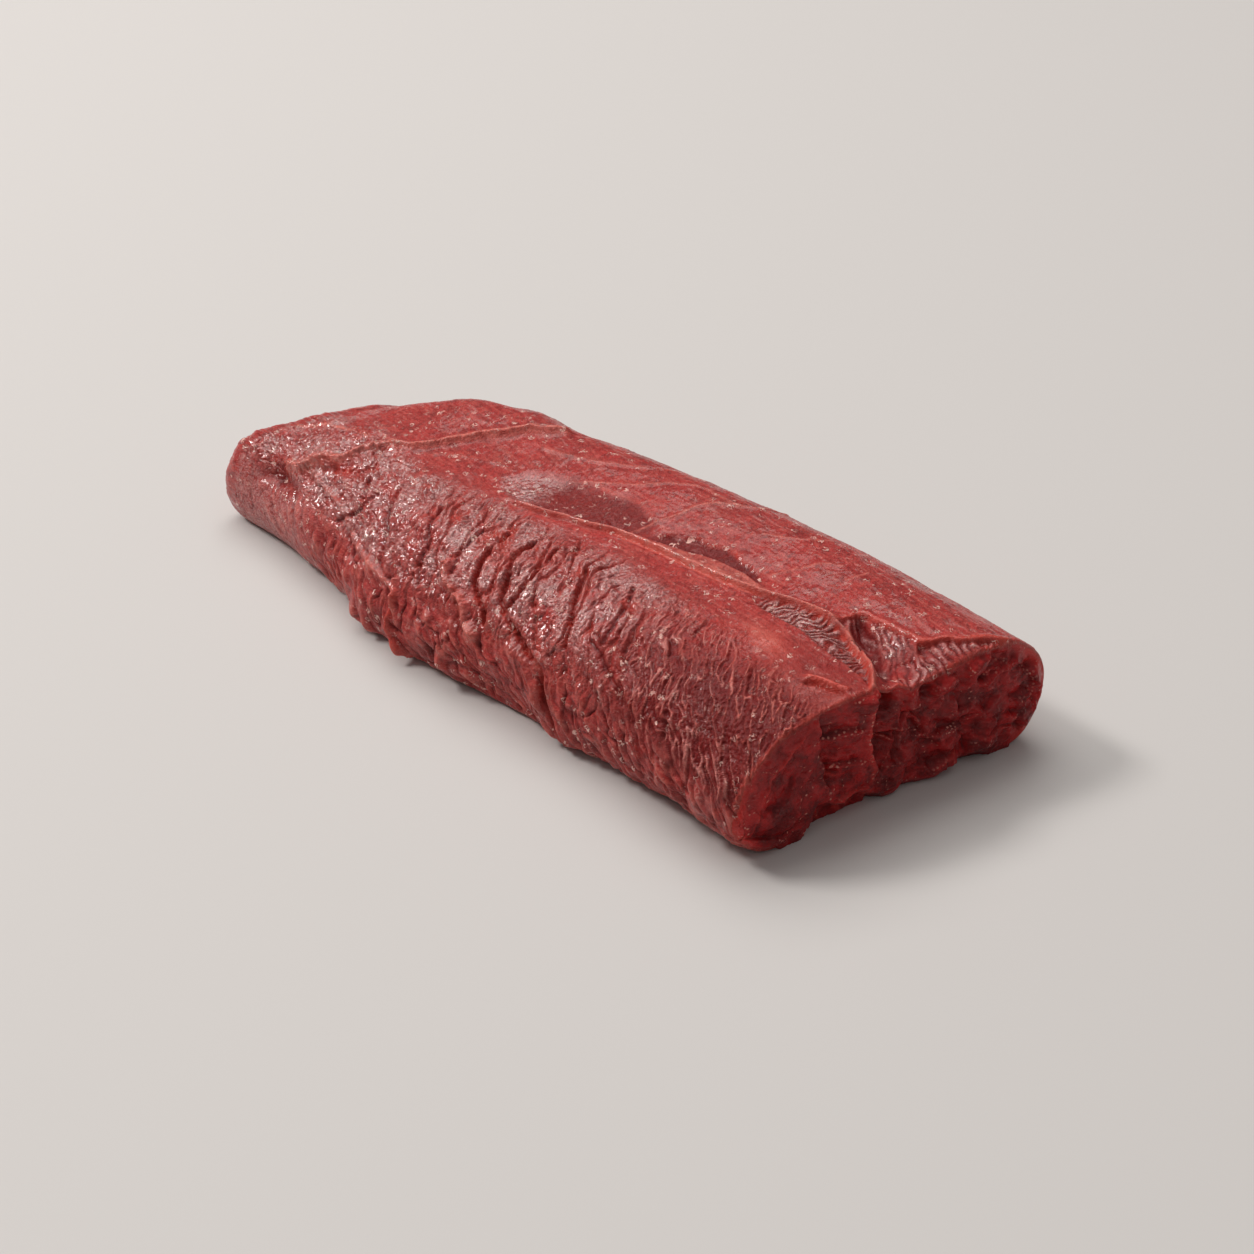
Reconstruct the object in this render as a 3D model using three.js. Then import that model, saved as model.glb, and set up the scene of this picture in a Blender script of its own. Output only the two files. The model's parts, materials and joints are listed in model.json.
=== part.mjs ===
// A raw sirloin steak, cut from the whole muscle as one long piece, lying on its flat underside.
// Millimetres, +Z up. X runs along the piece, from the rounded far end (-X) to the fresh cut (+X).
// The origin is on the surface that it rests on, under the middle of the piece.
import * as THREE from 'three';

// Cross-sections from the far end to the cut. Each line runs the length of the piece and has one
// place at each station, a share of the length: y is across the piece and z is height.
const stations = [0, 0.1, 0.25, 0.4, 0.7, 1];
const floorFront = { y: [-32, -31, -35, -41, -36.5, -32.5], z: [0, 0, 0, 0, 0, 0] };
const bellyFront = { y: [-37, -38, -42, -48, -44, -46.5], z: [11, 11, 11, 11.5, 12.5, 14] };
const knee = { y: [-33, -31.5, -34, -39.5, -37, -39.5], z: [21, 22.5, 23, 24.5, 28, 28] };
const shoulder = { y: [-21, -20.5, -22, -25.5, -20.5, -23.5], z: [25.5, 29, 31.5, 33, 36.5, 37] };
const crown = { y: [-3, 1, 4, 3, 8, 6], z: [26.2, 31.6, 33.4, 34.6, 36.3, 37.5] };
const back = { y: [15.5, 24.5, 29.5, 33.5, 38.5, 38], z: [25.4, 33.2, 35.3, 36.3, 36.7, 35.3] };
const bellyBack = { y: [30.5, 38.5, 45.5, 49, 53.5, 51.5], z: [13, 14, 15.5, 16, 16.5, 17.5] };
const floorBack = { y: [26, 30, 37.5, 41.5, 46, 41], z: [0, 0, 0, 0, 0, 0] };
const lines = [floorFront, bellyFront, knee, shoulder, crown, back, bellyBack, floorBack];
const last = lines.length - 1;
const bellyLift = 1.3; // how upright the sides stand above the bellies

// The middle of the piece, which the origin is set under.
const middle = { x: -0.6, y: 2.5 };

// Both ends slant: across the piece, from the front to the back, the cut steps out and the far end in.
const farEnd = { x: -119, stepIn: 27.5, power: 2.2, rounding: 8 };
const cutEnd = { x: 98.3, stepOut: 19 };

// Relief, placed on the unrolled skin: x is along the piece and s is the girth from the front floor line.
// A ridge follows a smooth route through its [x, s] points and stands out by its height.
const ridges = [
  // the seam between the two muscles, with its lip curling back to the cleft in the cut
  {
    route: [[-6, 66], [2, 73.5], [11, 77], [36, 78], [50, 79.5], [64, 85], [73, 89], [82, 88.5], [95, 83],
      [105, 76]],
    height: 1.4,
    width: 3,
  },
  // the far shoulder, which parts the wrinkled membrane from the smooth top
  { route: [[-94, 32], [-86, 38], [-78, 50], [-70, 60], [-63, 71], [-53, 83]], height: 1.3, width: 4 },
  // the drop behind the lip, down into the cleft
  { route: [[84, 92], [97, 88], [108, 80]], height: -1.8, width: 3 },
  // folds of the lower front
  { route: [[-14, 38], [-4, 24], [4, 12]], height: 1.2, width: 3 },
  { route: [[22, 32], [32, 19], [37, 10]], height: 1, width: 4 },
];
// A lump stands out, or is sunk where its height is negative, within its reach along x and across s.
const lumps = [
  { x: -111, s: 31, along: 6, across: 8, turn: 0, height: 2.6 }, // lip at the far corner
  { x: -89, s: 35, along: 6, across: 5, turn: 25, height: 1.2 }, // pale lump on the far shoulder
  { x: -100, s: 28, along: 7, across: 4, turn: 15, height: -2.6 }, // hollow under it
  { x: -74, s: 91, along: 8, across: 9, turn: 0, height: 1.4 }, // two swellings of the back edge
  { x: -54, s: 97, along: 10, across: 10, turn: 0, height: 1.8 },
  { x: -43, s: 8, along: 8, across: 9, turn: 0, height: 2.2 }, // knobs along the front floor line
  { x: -28, s: 8, along: 6, across: 8, turn: 0, height: 1.2 },
  { x: -10, s: 10, along: 4, across: 6, turn: 0, height: 1.2 },
  { x: 10, s: 10, along: 12, across: 9, turn: 0, height: -1.8 }, // and the hollow between them
  { x: 37, s: 9, along: 5, across: 7, turn: 0, height: 1.6 },
  { x: 78, s: 8, along: 14, across: 8, turn: 0, height: -1.2 },
  { x: -17, s: 74, along: 20, across: 8, turn: 8, height: -1.6 }, // sunken patches behind the seam
  { x: 38, s: 85.5, along: 16, across: 3.5, turn: 10, height: -1.8 },
  { x: 86, s: 78, along: 18, across: 5, turn: 6, height: -2.4 }, // sunken facet before the lip
  { x: 0, s: 43, along: 4, across: 12, turn: 12, height: -1 }, // creases of the front slope
  { x: 12, s: 40, along: 3.5, across: 12, turn: 12, height: -0.9 },
];
// The torn bevel of the back lobe drops away beyond this edge, towards the cut.
const bevel = {
  edge: [[72, 89], [84, 93], [96, 96], [104, 102], [108, 110], [118, 113]],
  depth: 2.8,
  run: 10,
};
// The cut face: the cleft between the lobes, the undercut along its foot, and its uneven swellings.
const cleft = { y: -3, z: 38, depth: 3, width: 2.6, length: 34 };
const undercut = { y: 7, reach: 25, depth: 2.8, height: 6 };
const faceLumps = [
  { y: -30, z: 16, reach: 12, height: 0.9 },
  { y: -12, z: 22, reach: 8, height: 0.7 },
  { y: 22, z: 22, reach: 13, height: -1 },
  { y: 40, z: 14, reach: 9, height: 0.8 },
  { y: -14, z: 6, reach: 8, height: -1.2 },
];

// How finely the skin is divided; the rows crowd together towards the cut.
const rows = 66;
const crowding = 0.12;
const columnsOfSegment = [4, 6, 7, 11, 12, 10, 4];
const capRows = 9;
const routeSteps = 4;

const meat = new THREE.MeshStandardMaterial({ color: 0x8c2b2b, roughness: 0.35, metalness: 0 });

// Cubic between the stations, with each slope taken across its two neighbours.
function along(values, u) {
  const top = stations.length - 1;
  const slope = (k) => {
    const a = Math.max(k - 1, 0);
    const b = Math.min(k + 1, top);
    return (values[b] - values[a]) / (stations[b] - stations[a]);
  };
  let i = 0;
  while (i < top - 1 && u >= stations[i + 1]) i += 1;
  const h = stations[i + 1] - stations[i];
  const t = (u - stations[i]) / h;
  return hermite(values[i], values[i + 1], slope(i) * h, slope(i + 1) * h, t);
}

function hermite(p, q, m, n, t) {
  const t2 = t * t;
  const t3 = t2 * t;
  return (2 * t3 - 3 * t2 + 1) * p + (t3 - 2 * t2 + t) * m + (3 * t2 - 2 * t3) * q + (t3 - t2) * n;
}

function smoothstep(low, high, value) {
  const t = THREE.MathUtils.clamp((value - low) / (high - low), 0, 1);
  return t * t * (3 - 2 * t);
}

const shareAcross = (y, front, rear) => THREE.MathUtils.clamp((y - front) / (rear - front), 0, 1);
const farX = (c) => farEnd.x + farEnd.stepIn * c ** farEnd.power;
const cutX = (c) => cutEnd.x + cutEnd.stepOut * c;

// A point of the section: quarter ellipses below the bellies, upright at the bellies, cubics over the top.
function sectionPoint(points, v) {
  const i = Math.min(Math.floor(v), last - 1);
  const t = v - i;
  const p = points[i];
  const q = points[i + 1];
  const angle = (t * Math.PI) / 2;
  if (i === 0) return { y: p.y + (q.y - p.y) * Math.sin(angle), z: q.z * (1 - Math.cos(angle)) };
  if (i === last - 1) return { y: q.y + (p.y - q.y) * Math.cos(angle), z: p.z * (1 - Math.sin(angle)) };
  const before = points[i - 1];
  const after = points[i + 2];
  const m = { y: (q.y - before.y) / 2, z: (q.z - before.z) / 2 };
  const n = { y: (after.y - p.y) / 2, z: (after.z - p.z) / 2 };
  const rise = bellyLift * Math.abs(q.z - p.z);
  if (i === 1) Object.assign(m, { y: 0, z: rise });
  if (i === last - 2) Object.assign(n, { y: 0, z: -rise });
  return { y: hermite(p.y, q.y, m.y, n.y, t), z: hermite(p.z, q.z, m.z, n.z, t) };
}

// One row of the skin: its points before the relief, each with its girth s.
function skinRow(u, vs) {
  const points = lines.map((line) => ({ y: along(line.y, u), z: along(line.z, u) }));
  let s = 0;
  let previous = null;
  return vs.map((v) => {
    const { y, z } = sectionPoint(points, v);
    const c = shareAcross(y, points[1].y, points[last - 1].y);
    const start = farX(c) + farEnd.rounding;
    if (previous) s += Math.hypot(y - previous.y, z - previous.z);
    previous = { y, z };
    return { at: new THREE.Vector3(start + (cutX(c) - start) * u, y, z), s };
  });
}

const smooth = (route) => new THREE.SplineCurve(route.map(([x, s]) => new THREE.Vector2(x, s)))
  .getPoints(routeSteps * (route.length - 1));
const ridgeRoutes = ridges.map((ridge) => smooth(ridge.route));
const bevelEdge = smooth(bevel.edge);

// Distance to a line of points, positive on its left: the side of greater s on a line towards +X.
function offsetFrom(line, x, s) {
  let nearest = Infinity;
  let side = 1;
  for (let k = 0; k < line.length - 1; k += 1) {
    const dx = line[k + 1].x - line[k].x;
    const ds = line[k + 1].y - line[k].y;
    const px = x - line[k].x;
    const ps = s - line[k].y;
    const t = THREE.MathUtils.clamp((px * dx + ps * ds) / (dx * dx + ds * ds), 0, 1);
    const distance = Math.hypot(px - dx * t, ps - ds * t);
    if (distance < nearest) {
      nearest = distance;
      side = Math.sign(dx * ps - ds * px) || 1;
    }
  }
  return nearest * side;
}

function skinRelief(x, s) {
  let height = 0;
  ridges.forEach((ridge, k) => {
    height += ridge.height * Math.exp(-((offsetFrom(ridgeRoutes[k], x, s) / ridge.width) ** 2));
  });
  for (const lump of lumps) {
    const turn = THREE.MathUtils.degToRad(lump.turn);
    const a = ((x - lump.x) * Math.cos(turn) + (s - lump.s) * Math.sin(turn)) / lump.along;
    const b = ((s - lump.s) * Math.cos(turn) - (x - lump.x) * Math.sin(turn)) / lump.across;
    height += lump.height * Math.exp(-a * a - b * b);
  }
  const beyond = -offsetFrom(bevelEdge, x, s);
  const lobe = smoothstep(72, 84, x) * smoothstep(78, 88, s);
  return height - bevel.depth * smoothstep(0, bevel.run, beyond) * lobe;
}

// The cut face is sunk along the cleft and the undercut, measured along its normal.
function faceRelief(y, z) {
  const down = smoothstep(cleft.z - cleft.length, cleft.z - cleft.length / 2, z);
  let height = -cleft.depth * Math.exp(-(((y - cleft.y) / cleft.width) ** 2)) * down;
  height -= undercut.depth * Math.exp(-((z / undercut.height) ** 2))
    * Math.exp(-(((y - undercut.y) / undercut.reach) ** 4));
  for (const lump of faceLumps) {
    height += lump.height * Math.exp(-(((y - lump.y) ** 2 + (z - lump.z) ** 2) / lump.reach ** 2));
  }
  return height;
}

// The skin as a grid of points, pushed along its own normals by the relief.
function skinGrid(us, vs) {
  const grid = us.map((u) => skinRow(u, vs));
  return grid.map((row, i) => row.map(({ at, s }, j) => {
    if (j === 0 || j === vs.length - 1) return at.clone();
    const lengthwise = new THREE.Vector3().subVectors(
      grid[Math.min(i + 1, us.length - 1)][j].at, grid[Math.max(i - 1, 0)][j].at);
    const around = new THREE.Vector3().subVectors(row[j + 1].at, row[j - 1].at);
    const normal = lengthwise.cross(around).normalize();
    const height = skinRelief(at.x, s) * smoothstep(0, 3, at.z);
    const moved = at.clone().addScaledVector(normal, height);
    moved.z = Math.max(moved.z, 0.2);
    return moved;
  }));
}

class Solid {
  constructor() {
    this.positions = [];
    this.faces = [];
  }

  vertex(point) {
    this.positions.push(point.x, point.y, point.z);
    return this.positions.length / 3 - 1;
  }

  // two triangles, or one where two corners are the same vertex
  quad(a, b, c, d) {
    if (a !== b && b !== c && a !== c) this.faces.push(a, b, c);
    if (a !== c && c !== d && a !== d) this.faces.push(a, c, d);
  }
}

// A ruled cap between the rim's top and bottom vertices, with inner points placed by the given function.
function addCap(solid, topIds, bottomIds, place, outward) {
  const count = topIds.length;
  const point = (id) => new THREE.Vector3().fromArray(solid.positions, id * 3);
  const ids = topIds.map((topId, k) => {
    const bottomId = bottomIds[k];
    if (k === 0 || k === count - 1) return new Array(capRows + 1).fill(topId);
    const column = [bottomId];
    for (let r = 1; r < capRows; r += 1) {
      const inner = place(point(bottomId), point(topId), k / (count - 1), r / capRows);
      column.push(solid.vertex(inner));
    }
    column.push(topId);
    return column;
  });
  for (let k = 0; k < count - 1; k += 1) {
    for (let r = 0; r < capRows; r += 1) {
      const corners = [ids[k][r], ids[k + 1][r], ids[k + 1][r + 1], ids[k][r + 1]];
      if (outward < 0) corners.reverse();
      solid.quad(...corners);
    }
  }
}

function buildSteak() {
  const us = Array.from({ length: rows + 1 }, (_, k) => k / rows + crowding * Math.sin((Math.PI * k) / rows));
  const vs = [0];
  columnsOfSegment.forEach((count, segment) => {
    for (let k = 1; k <= count; k += 1) vs.push(segment + k / count);
  });
  const grid = skinGrid(us, vs);
  const belowFront = columnsOfSegment[0];
  const floorSteps = vs.length - 1 - 4 * belowFront;

  const solid = new Solid();
  const ids = grid.map((row) => row.map((point) => solid.vertex(point)));
  for (let i = 0; i < rows; i += 1) {
    for (let j = 0; j < vs.length - 1; j += 1) {
      solid.quad(ids[i][j], ids[i + 1][j], ids[i + 1][j + 1], ids[i][j + 1]);
    }
  }

  // the cut face slants across the piece; the far end's rim follows the same curve as its skin
  const level = (y, row) => shareAcross(y, grid[row][belowFront].y, grid[row].at(-1 - belowFront).y);
  const onCut = (y, z) => cutX(level(y, rows)) + faceRelief(y, z);
  const onFarRim = (y) => farX(level(y, 0)) + farEnd.rounding;

  // the lower half of each rim, from belly to belly, with new vertices along the floor
  const lowerHalf = (row, xOf) => {
    const rim = ids[row];
    const from = grid[row][0];
    const to = grid[row].at(-1);
    const floor = Array.from({ length: floorSteps - 1 }, (_, k) => {
      const point = from.clone().lerp(to, (k + 1) / floorSteps);
      return solid.vertex(point.setX(xOf(point.y, 0)));
    });
    return [...rim.slice(0, belowFront + 1).reverse(), ...floor, ...rim.slice(-1 - belowFront).reverse()];
  };
  const upperHalf = (row) => ids[row].slice(belowFront, vs.length - belowFront);
  const cutBottom = lowerHalf(rows, onCut);
  const farBottom = lowerHalf(0, onFarRim);

  // the relief of the cut face fades out where it meets the skin along the top
  addCap(solid, upperHalf(rows), cutBottom, (low, high, c, h) => {
    const point = low.clone().lerp(high, h);
    const plane = cutX(level(point.y, rows));
    return point.setX(THREE.MathUtils.lerp(onCut(point.y, point.z), plane, smoothstep(0.85, 1, h)));
  }, 1);

  // the far end swells out from its rim like a pillow
  addCap(solid, upperHalf(0), farBottom, (low, high, c, h) => {
    const point = low.clone().lerp(high, h);
    point.x = onFarRim(point.y);
    const fill = 1 - (1 - Math.abs(2 * c - 1) ** 4) * (1 - Math.abs(2 * h - 1) ** 3);
    point.x -= farEnd.rounding * Math.sqrt(Math.max(1 - fill * fill, 0));
    return point;
  }, -1);

  // the flat underside, inside the outline of everything that meets the floor
  const outline = [
    ...ids.map((row) => row[0]),
    ...cutBottom.slice(belowFront + 1, cutBottom.length - 1 - belowFront),
    ...ids.map((row) => row[vs.length - 1]).reverse(),
    ...farBottom.slice(belowFront + 1, farBottom.length - 1 - belowFront).reverse(),
  ];
  const flat = outline.map((id) => new THREE.Vector2(solid.positions[id * 3], solid.positions[id * 3 + 1]));
  for (const [a, b, c] of THREE.ShapeUtils.triangulateShape(flat, [])) {
    solid.faces.push(outline[a], outline[c], outline[b]);
  }

  const geometry = new THREE.BufferGeometry();
  geometry.setAttribute('position', new THREE.Float32BufferAttribute(solid.positions, 3));
  geometry.setIndex(solid.faces);
  geometry.translate(-middle.x, -middle.y, 0);
  geometry.computeVertexNormals();
  const mesh = new THREE.Mesh(geometry, meat);
  mesh.name = 'steak';
  return mesh;
}

const piece = new THREE.Group();
piece.name = 'raw_sirloin_steak';
piece.add(buildSteak());

export default piece;
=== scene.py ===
import json
import math

import bpy
import numpy as np
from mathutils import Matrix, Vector

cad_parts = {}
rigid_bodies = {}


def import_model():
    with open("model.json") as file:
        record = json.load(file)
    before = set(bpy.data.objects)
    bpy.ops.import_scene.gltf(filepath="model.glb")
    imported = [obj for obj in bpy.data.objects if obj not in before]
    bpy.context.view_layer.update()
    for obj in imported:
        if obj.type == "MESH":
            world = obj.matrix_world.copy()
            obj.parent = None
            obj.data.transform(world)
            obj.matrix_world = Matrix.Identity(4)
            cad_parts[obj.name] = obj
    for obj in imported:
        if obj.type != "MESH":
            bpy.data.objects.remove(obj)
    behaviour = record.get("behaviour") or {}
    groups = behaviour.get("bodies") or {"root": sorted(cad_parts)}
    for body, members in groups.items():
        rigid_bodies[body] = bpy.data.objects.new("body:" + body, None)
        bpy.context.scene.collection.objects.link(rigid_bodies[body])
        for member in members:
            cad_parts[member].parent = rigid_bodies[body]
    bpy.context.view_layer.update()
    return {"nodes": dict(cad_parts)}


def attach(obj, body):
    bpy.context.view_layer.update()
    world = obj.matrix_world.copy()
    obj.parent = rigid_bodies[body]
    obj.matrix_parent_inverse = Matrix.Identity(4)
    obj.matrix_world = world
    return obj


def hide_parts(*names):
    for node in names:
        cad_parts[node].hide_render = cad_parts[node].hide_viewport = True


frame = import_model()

print("frame loaded:", ", ".join(frame["nodes"]))

# The camera first. Angles and distance were solved from the outline of the steak in the photograph.
view = {
    "azimuth": 45.4,           # degrees round from looking along +Y
    "elevation": 35.0,
    "distance": 0.682,
    "target": (0.0074, 0.0057, 0.0),
    "lens": 70.0, "sensor": 36.0,
}


def towards(azimuth, elevation):
    a, e = math.radians(azimuth), math.radians(elevation)
    return Vector((math.sin(a) * math.cos(e), -math.cos(a) * math.cos(e), math.sin(e)))


def makeCamera():
    data = bpy.data.cameras.new("viewCamera")
    data.lens = view["lens"]
    data.sensor_width = view["sensor"]
    data.clip_start, data.clip_end = 0.01, 20.0
    camera = bpy.data.objects.new("viewCamera", data)
    bpy.context.scene.collection.objects.link(camera)
    back = towards(view["azimuth"], view["elevation"])
    camera.location = Vector(view["target"]) + back * view["distance"]
    camera.rotation_euler = (-back).to_track_quat("-Z", "Y").to_euler()
    bpy.context.scene.camera = camera


makeCamera()
print("camera set")

# The steak's form, in millimetres: the same sections as its solid, from the far end to the cut.
form = {
    "stations": (0, 0.1, 0.25, 0.4, 0.7, 1),
    "floorFront": ((-32, -31, -35, -41, -36.5, -32.5), (0, 0, 0, 0, 0, 0)),
    "bellyFront": ((-37, -38, -42, -48, -44, -46.5), (11, 11, 11, 11.5, 12.5, 14)),
    "knee": ((-33, -31.5, -34, -39.5, -37, -39.5), (21, 22.5, 23, 24.5, 28, 28)),
    "shoulder": ((-21, -20.5, -22, -25.5, -20.5, -23.5), (25.5, 29, 31.5, 33, 36.5, 37)),
    "crown": ((-3, 1, 4, 3, 8, 6), (26.2, 31.6, 33.4, 34.6, 36.3, 37.5)),
    "back": ((15.5, 24.5, 29.5, 33.5, 38.5, 38), (25.4, 33.2, 35.3, 36.3, 36.7, 35.3)),
    "bellyBack": ((30.5, 38.5, 45.5, 49, 53.5, 51.5), (13, 14, 15.5, 16, 16.5, 17.5)),
    "floorBack": ((26, 30, 37.5, 41.5, 46, 41), (0, 0, 0, 0, 0, 0)),
    "bellyLift": 1.3,
    "farX": -119, "farStepIn": 27.5, "farPower": 2.2, "farRound": 8,
    "cutX": 98.3, "cutStepOut": 19,
    "middle": (-0.6, 2.5),
}
lineNames = ("floorFront", "bellyFront", "knee", "shoulder", "crown", "back", "bellyBack", "floorBack")
lastLine = len(lineNames) - 1

# How finely the dressed mesh is divided. Columns are counted between one line of the form and the next.
division = {
    "rows": 820,
    "crowding": 0.06,
    "columns": (42, 50, 62, 98, 90, 58, 34),
    "capRows": 120,
    "paintedCreviceShade": 1.6,            # how strongly painted shade darkens hollows in the relief, on the skin and on the cut
    "paintedCutCreviceShade": 2.0,
}
below, above = division["columns"][0], division["columns"][-1]     # columns under the bellies, front and back

# Relief on the unrolled skin: x along the piece, s round the girth from the front floor line, in mm.
# Edges of the larger patches, each running along the piece.
edges = {
    "seamLow": ((-36, 66), (-28, 65), (-19, 66.4), (-7, 69.7), (3, 72), (10, 74.2), (20, 75), (32, 75.3),
                (42, 76.4), (52, 78), (58, 80.5), (64, 82.6), (69, 84.8), (74, 86.2), (80, 87),
                (86, 86.4), (93, 84), (99, 80.8), (106, 75)),
    "seamHigh": ((-36, 67.5), (-28, 66.5), (-19, 68), (-7, 71.2), (3, 73.8), (10, 76.4), (20, 78.6),
                 (28, 80.4), (36, 82.4), (46, 83.8), (57, 83.2), (64, 83.8), (69, 85.8), (74, 87.1),
                 (80, 87.8), (86, 87.2), (93, 84.9), (99, 81.7), (106, 76)),
    "patchTop": ((-40, 70), (-36, 74), (-29, 81), (-21, 85), (-13, 87.6), (-4, 89), (6, 89.3), (14, 88),
                 (20, 86)),
    "wedgeTop": ((12, 80), (17, 83), (23, 86), (30, 88.3), (38, 89.4), (46, 88.4), (56, 86)),
    "facetLow": ((48, 80), (54, 77.5), (60, 76.3), (69, 76.9), (79, 77.2), (88, 76.3), (95, 77), (106, 75)),
}
seam = {"height": 1.45, "drop": 1.2, "patch": 0.8, "wedge": 0.9, "facet": 2.0, "rib": 1.9, "ribHeight": 0.6}

# Single lines. height stands out or cuts in, puff swells the skin beside it, drop lowers what lies behind.
# On the lines, dark is painted shade in the creases, glow a painted glow as of light through thin meat, and
# the silvery tone with its painted sheen is taken out of the creases.
skinLines = (
    {"name": "farShoulder", "height": 1.5, "width": 1.6, "pale": 0.85, "glow": 0.4, "silverAndSheen": -1.2,
     "drop": 0.7, "route": (
        (-95, 31), (-90, 33), (-84, 38.5), (-79.5, 42), (-77, 48.5), (-73, 55.5), (-66, 61), (-62, 68.5),
        (-56, 76), (-50, 82.5), (-44, 89), (-38, 95))},
    {"name": "farBranch", "height": 0.5, "width": 1.2, "glow": 0.4, "route": (
        (-74, 55), (-68, 54), (-62, 52), (-54, 50), (-46, 51))},
    {"name": "farStrand", "height": 0.6, "width": 0.9, "pale": 0.55, "drop": 0.5, "route": (
        (-84, 33), (-76, 31.5), (-67, 30.8), (-55, 25.5), (-42, 24.2), (-34, 23.5), (-29, 22))},
    {"name": "lipDrop", "height": -1.8, "width": 2.0, "dark": 0.7, "route": (
        (84, 91.8), (91, 89.8), (98, 86), (108, 79.5))},
    {"name": "slit", "height": -1.3, "width": 0.8, "dark": 0.6, "glow": 0.5, "route": (
        (93, 64), (95, 65.5), (99, 66.4), (102, 67.6))},
    {"name": "slitLip", "height": 0.8, "width": 0.9, "glow": 1.0, "route": (
        (92, 65.5), (95, 67.2), (99, 68.2), (102, 69.3))},
    {"name": "finger1", "height": -2.3, "width": 0.8, "puff": 0.9, "dark": 0.4,
     "glow": 0.5, "silverAndSheen": -1.6, "route": (
        (-12, 55), (-11, 52), (-10, 45), (-8, 40), (-7, 37), (-4, 34), (0, 31.5), (3, 28.6))},
    {"name": "finger2", "height": -2.2, "width": 0.8, "puff": 0.8, "dark": 0.4,
     "glow": 0.5, "silverAndSheen": -1.6, "route": (
        (-3, 56), (-2, 48), (2, 41), (4, 36.5), (7, 34), (10, 32), (16, 29), (21, 26.5), (27, 23),
        (30, 15), (35, 8))},
    {"name": "finger3", "height": -1.8, "width": 0.75, "puff": 0.7, "dark": 0.3,
     "glow": 0.5, "silverAndSheen": -1.6, "route": (
        (5, 57), (6, 53), (7, 47), (8, 40), (8, 35))},
    {"name": "finger4", "height": -1.9, "width": 0.8, "puff": 0.7, "dark": 0.3,
     "glow": 0.5, "silverAndSheen": -1.6, "route": (
        (18, 55), (22, 48.6), (25, 43), (28, 38), (30, 33))},
    {"name": "finger5", "height": -1.1, "width": 0.8, "puff": 0.4, "dark": 0.6, "silverAndSheen": -1.6, "route": (
        (33, 57), (37, 51), (39, 44), (40, 39))},
    {"name": "finger6", "height": -1.1, "width": 0.65, "puff": 0.3, "dark": 0.5, "silverAndSheen": -1.6, "route": (
        (-19, 52), (-18, 46), (-17, 40), (-15, 36))},
    {"name": "fold1", "height": -1.0, "width": 0.9, "puff": 0.4, "dark": 0.6, "silverAndSheen": -1.6, "route": (
        (37, 37.7), (42, 36), (45, 34), (51, 32), (55, 29.6))},
    {"name": "fold2", "height": -0.8, "width": 0.7, "puff": 0.4, "dark": 0.4, "route": (
        (46, 28), (50, 24), (54, 20.5), (58, 15))},
    {"name": "fold3", "height": -0.7, "width": 0.8, "puff": 0.4, "dark": 0.4, "route": (
        (69, 35), (71, 31), (71.5, 27.7), (76, 23), (80, 15))},
    {"name": "groove1", "height": -0.9, "width": 0.8, "puff": 0.3, "dark": 0.5, "silverAndSheen": -1.6, "route": (
        (-35, 50), (-32, 43.5), (-28, 39), (-27, 34), (-24, 29))},
    {"name": "groove2", "height": -0.9, "width": 0.7, "puff": 0.3, "dark": 0.5, "silverAndSheen": -1.6, "route": (
        (-66, 27), (-64, 28.5), (-59, 33), (-57, 39))},
    {"name": "groove3", "height": -0.8, "width": 0.9, "puff": 0.3, "dark": 0.4, "silverAndSheen": -1.6, "route": (
        (-52, 44), (-49, 38), (-44, 33), (-41, 27))},
    {"name": "pit1", "height": -1.2, "width": 1.6, "dark": 0.2, "glow": 0.5, "silverAndSheen": -1.6, "route": (
        (-79, 38.5), (-74, 39.5), (-70, 42), (-68, 45.5))},
    {"name": "pit2", "height": -1.2, "width": 1.1, "dark": 0.4, "glow": 0.2, "silverAndSheen": -1.6, "route": (
        (-65, 41), (-63, 39), (-61, 36.6))},
    {"name": "ribA", "height": 1.9, "width": 1.3, "pale": 0.55, "glow": 0.4,
     "silverAndSheen": -1.0, "drop": 1.0, "route": (
        (-19, 37), (-15, 33.4), (-7, 30), (-3, 26), (2, 24))},
    {"name": "ribB", "height": 1.7, "width": 1.2, "glow": 0.9, "drop": 1.0, "route": (
        (-31, 26), (-29, 22.6), (-29, 17.5), (-28.5, 13), (-26, 8.5), (-23, 6))},
    {"name": "ribC", "height": 0.9, "width": 2.2, "pale": 0.12, "route": (
        (5, 31), (12, 27), (19, 24), (24, 19), (27, 13), (30, 7))},
    {"name": "ribD", "height": 0.6, "width": 1.0, "pale": 0.25, "route": (
        (40, 25), (45, 19), (50, 13), (53, 8))},
)
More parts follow.
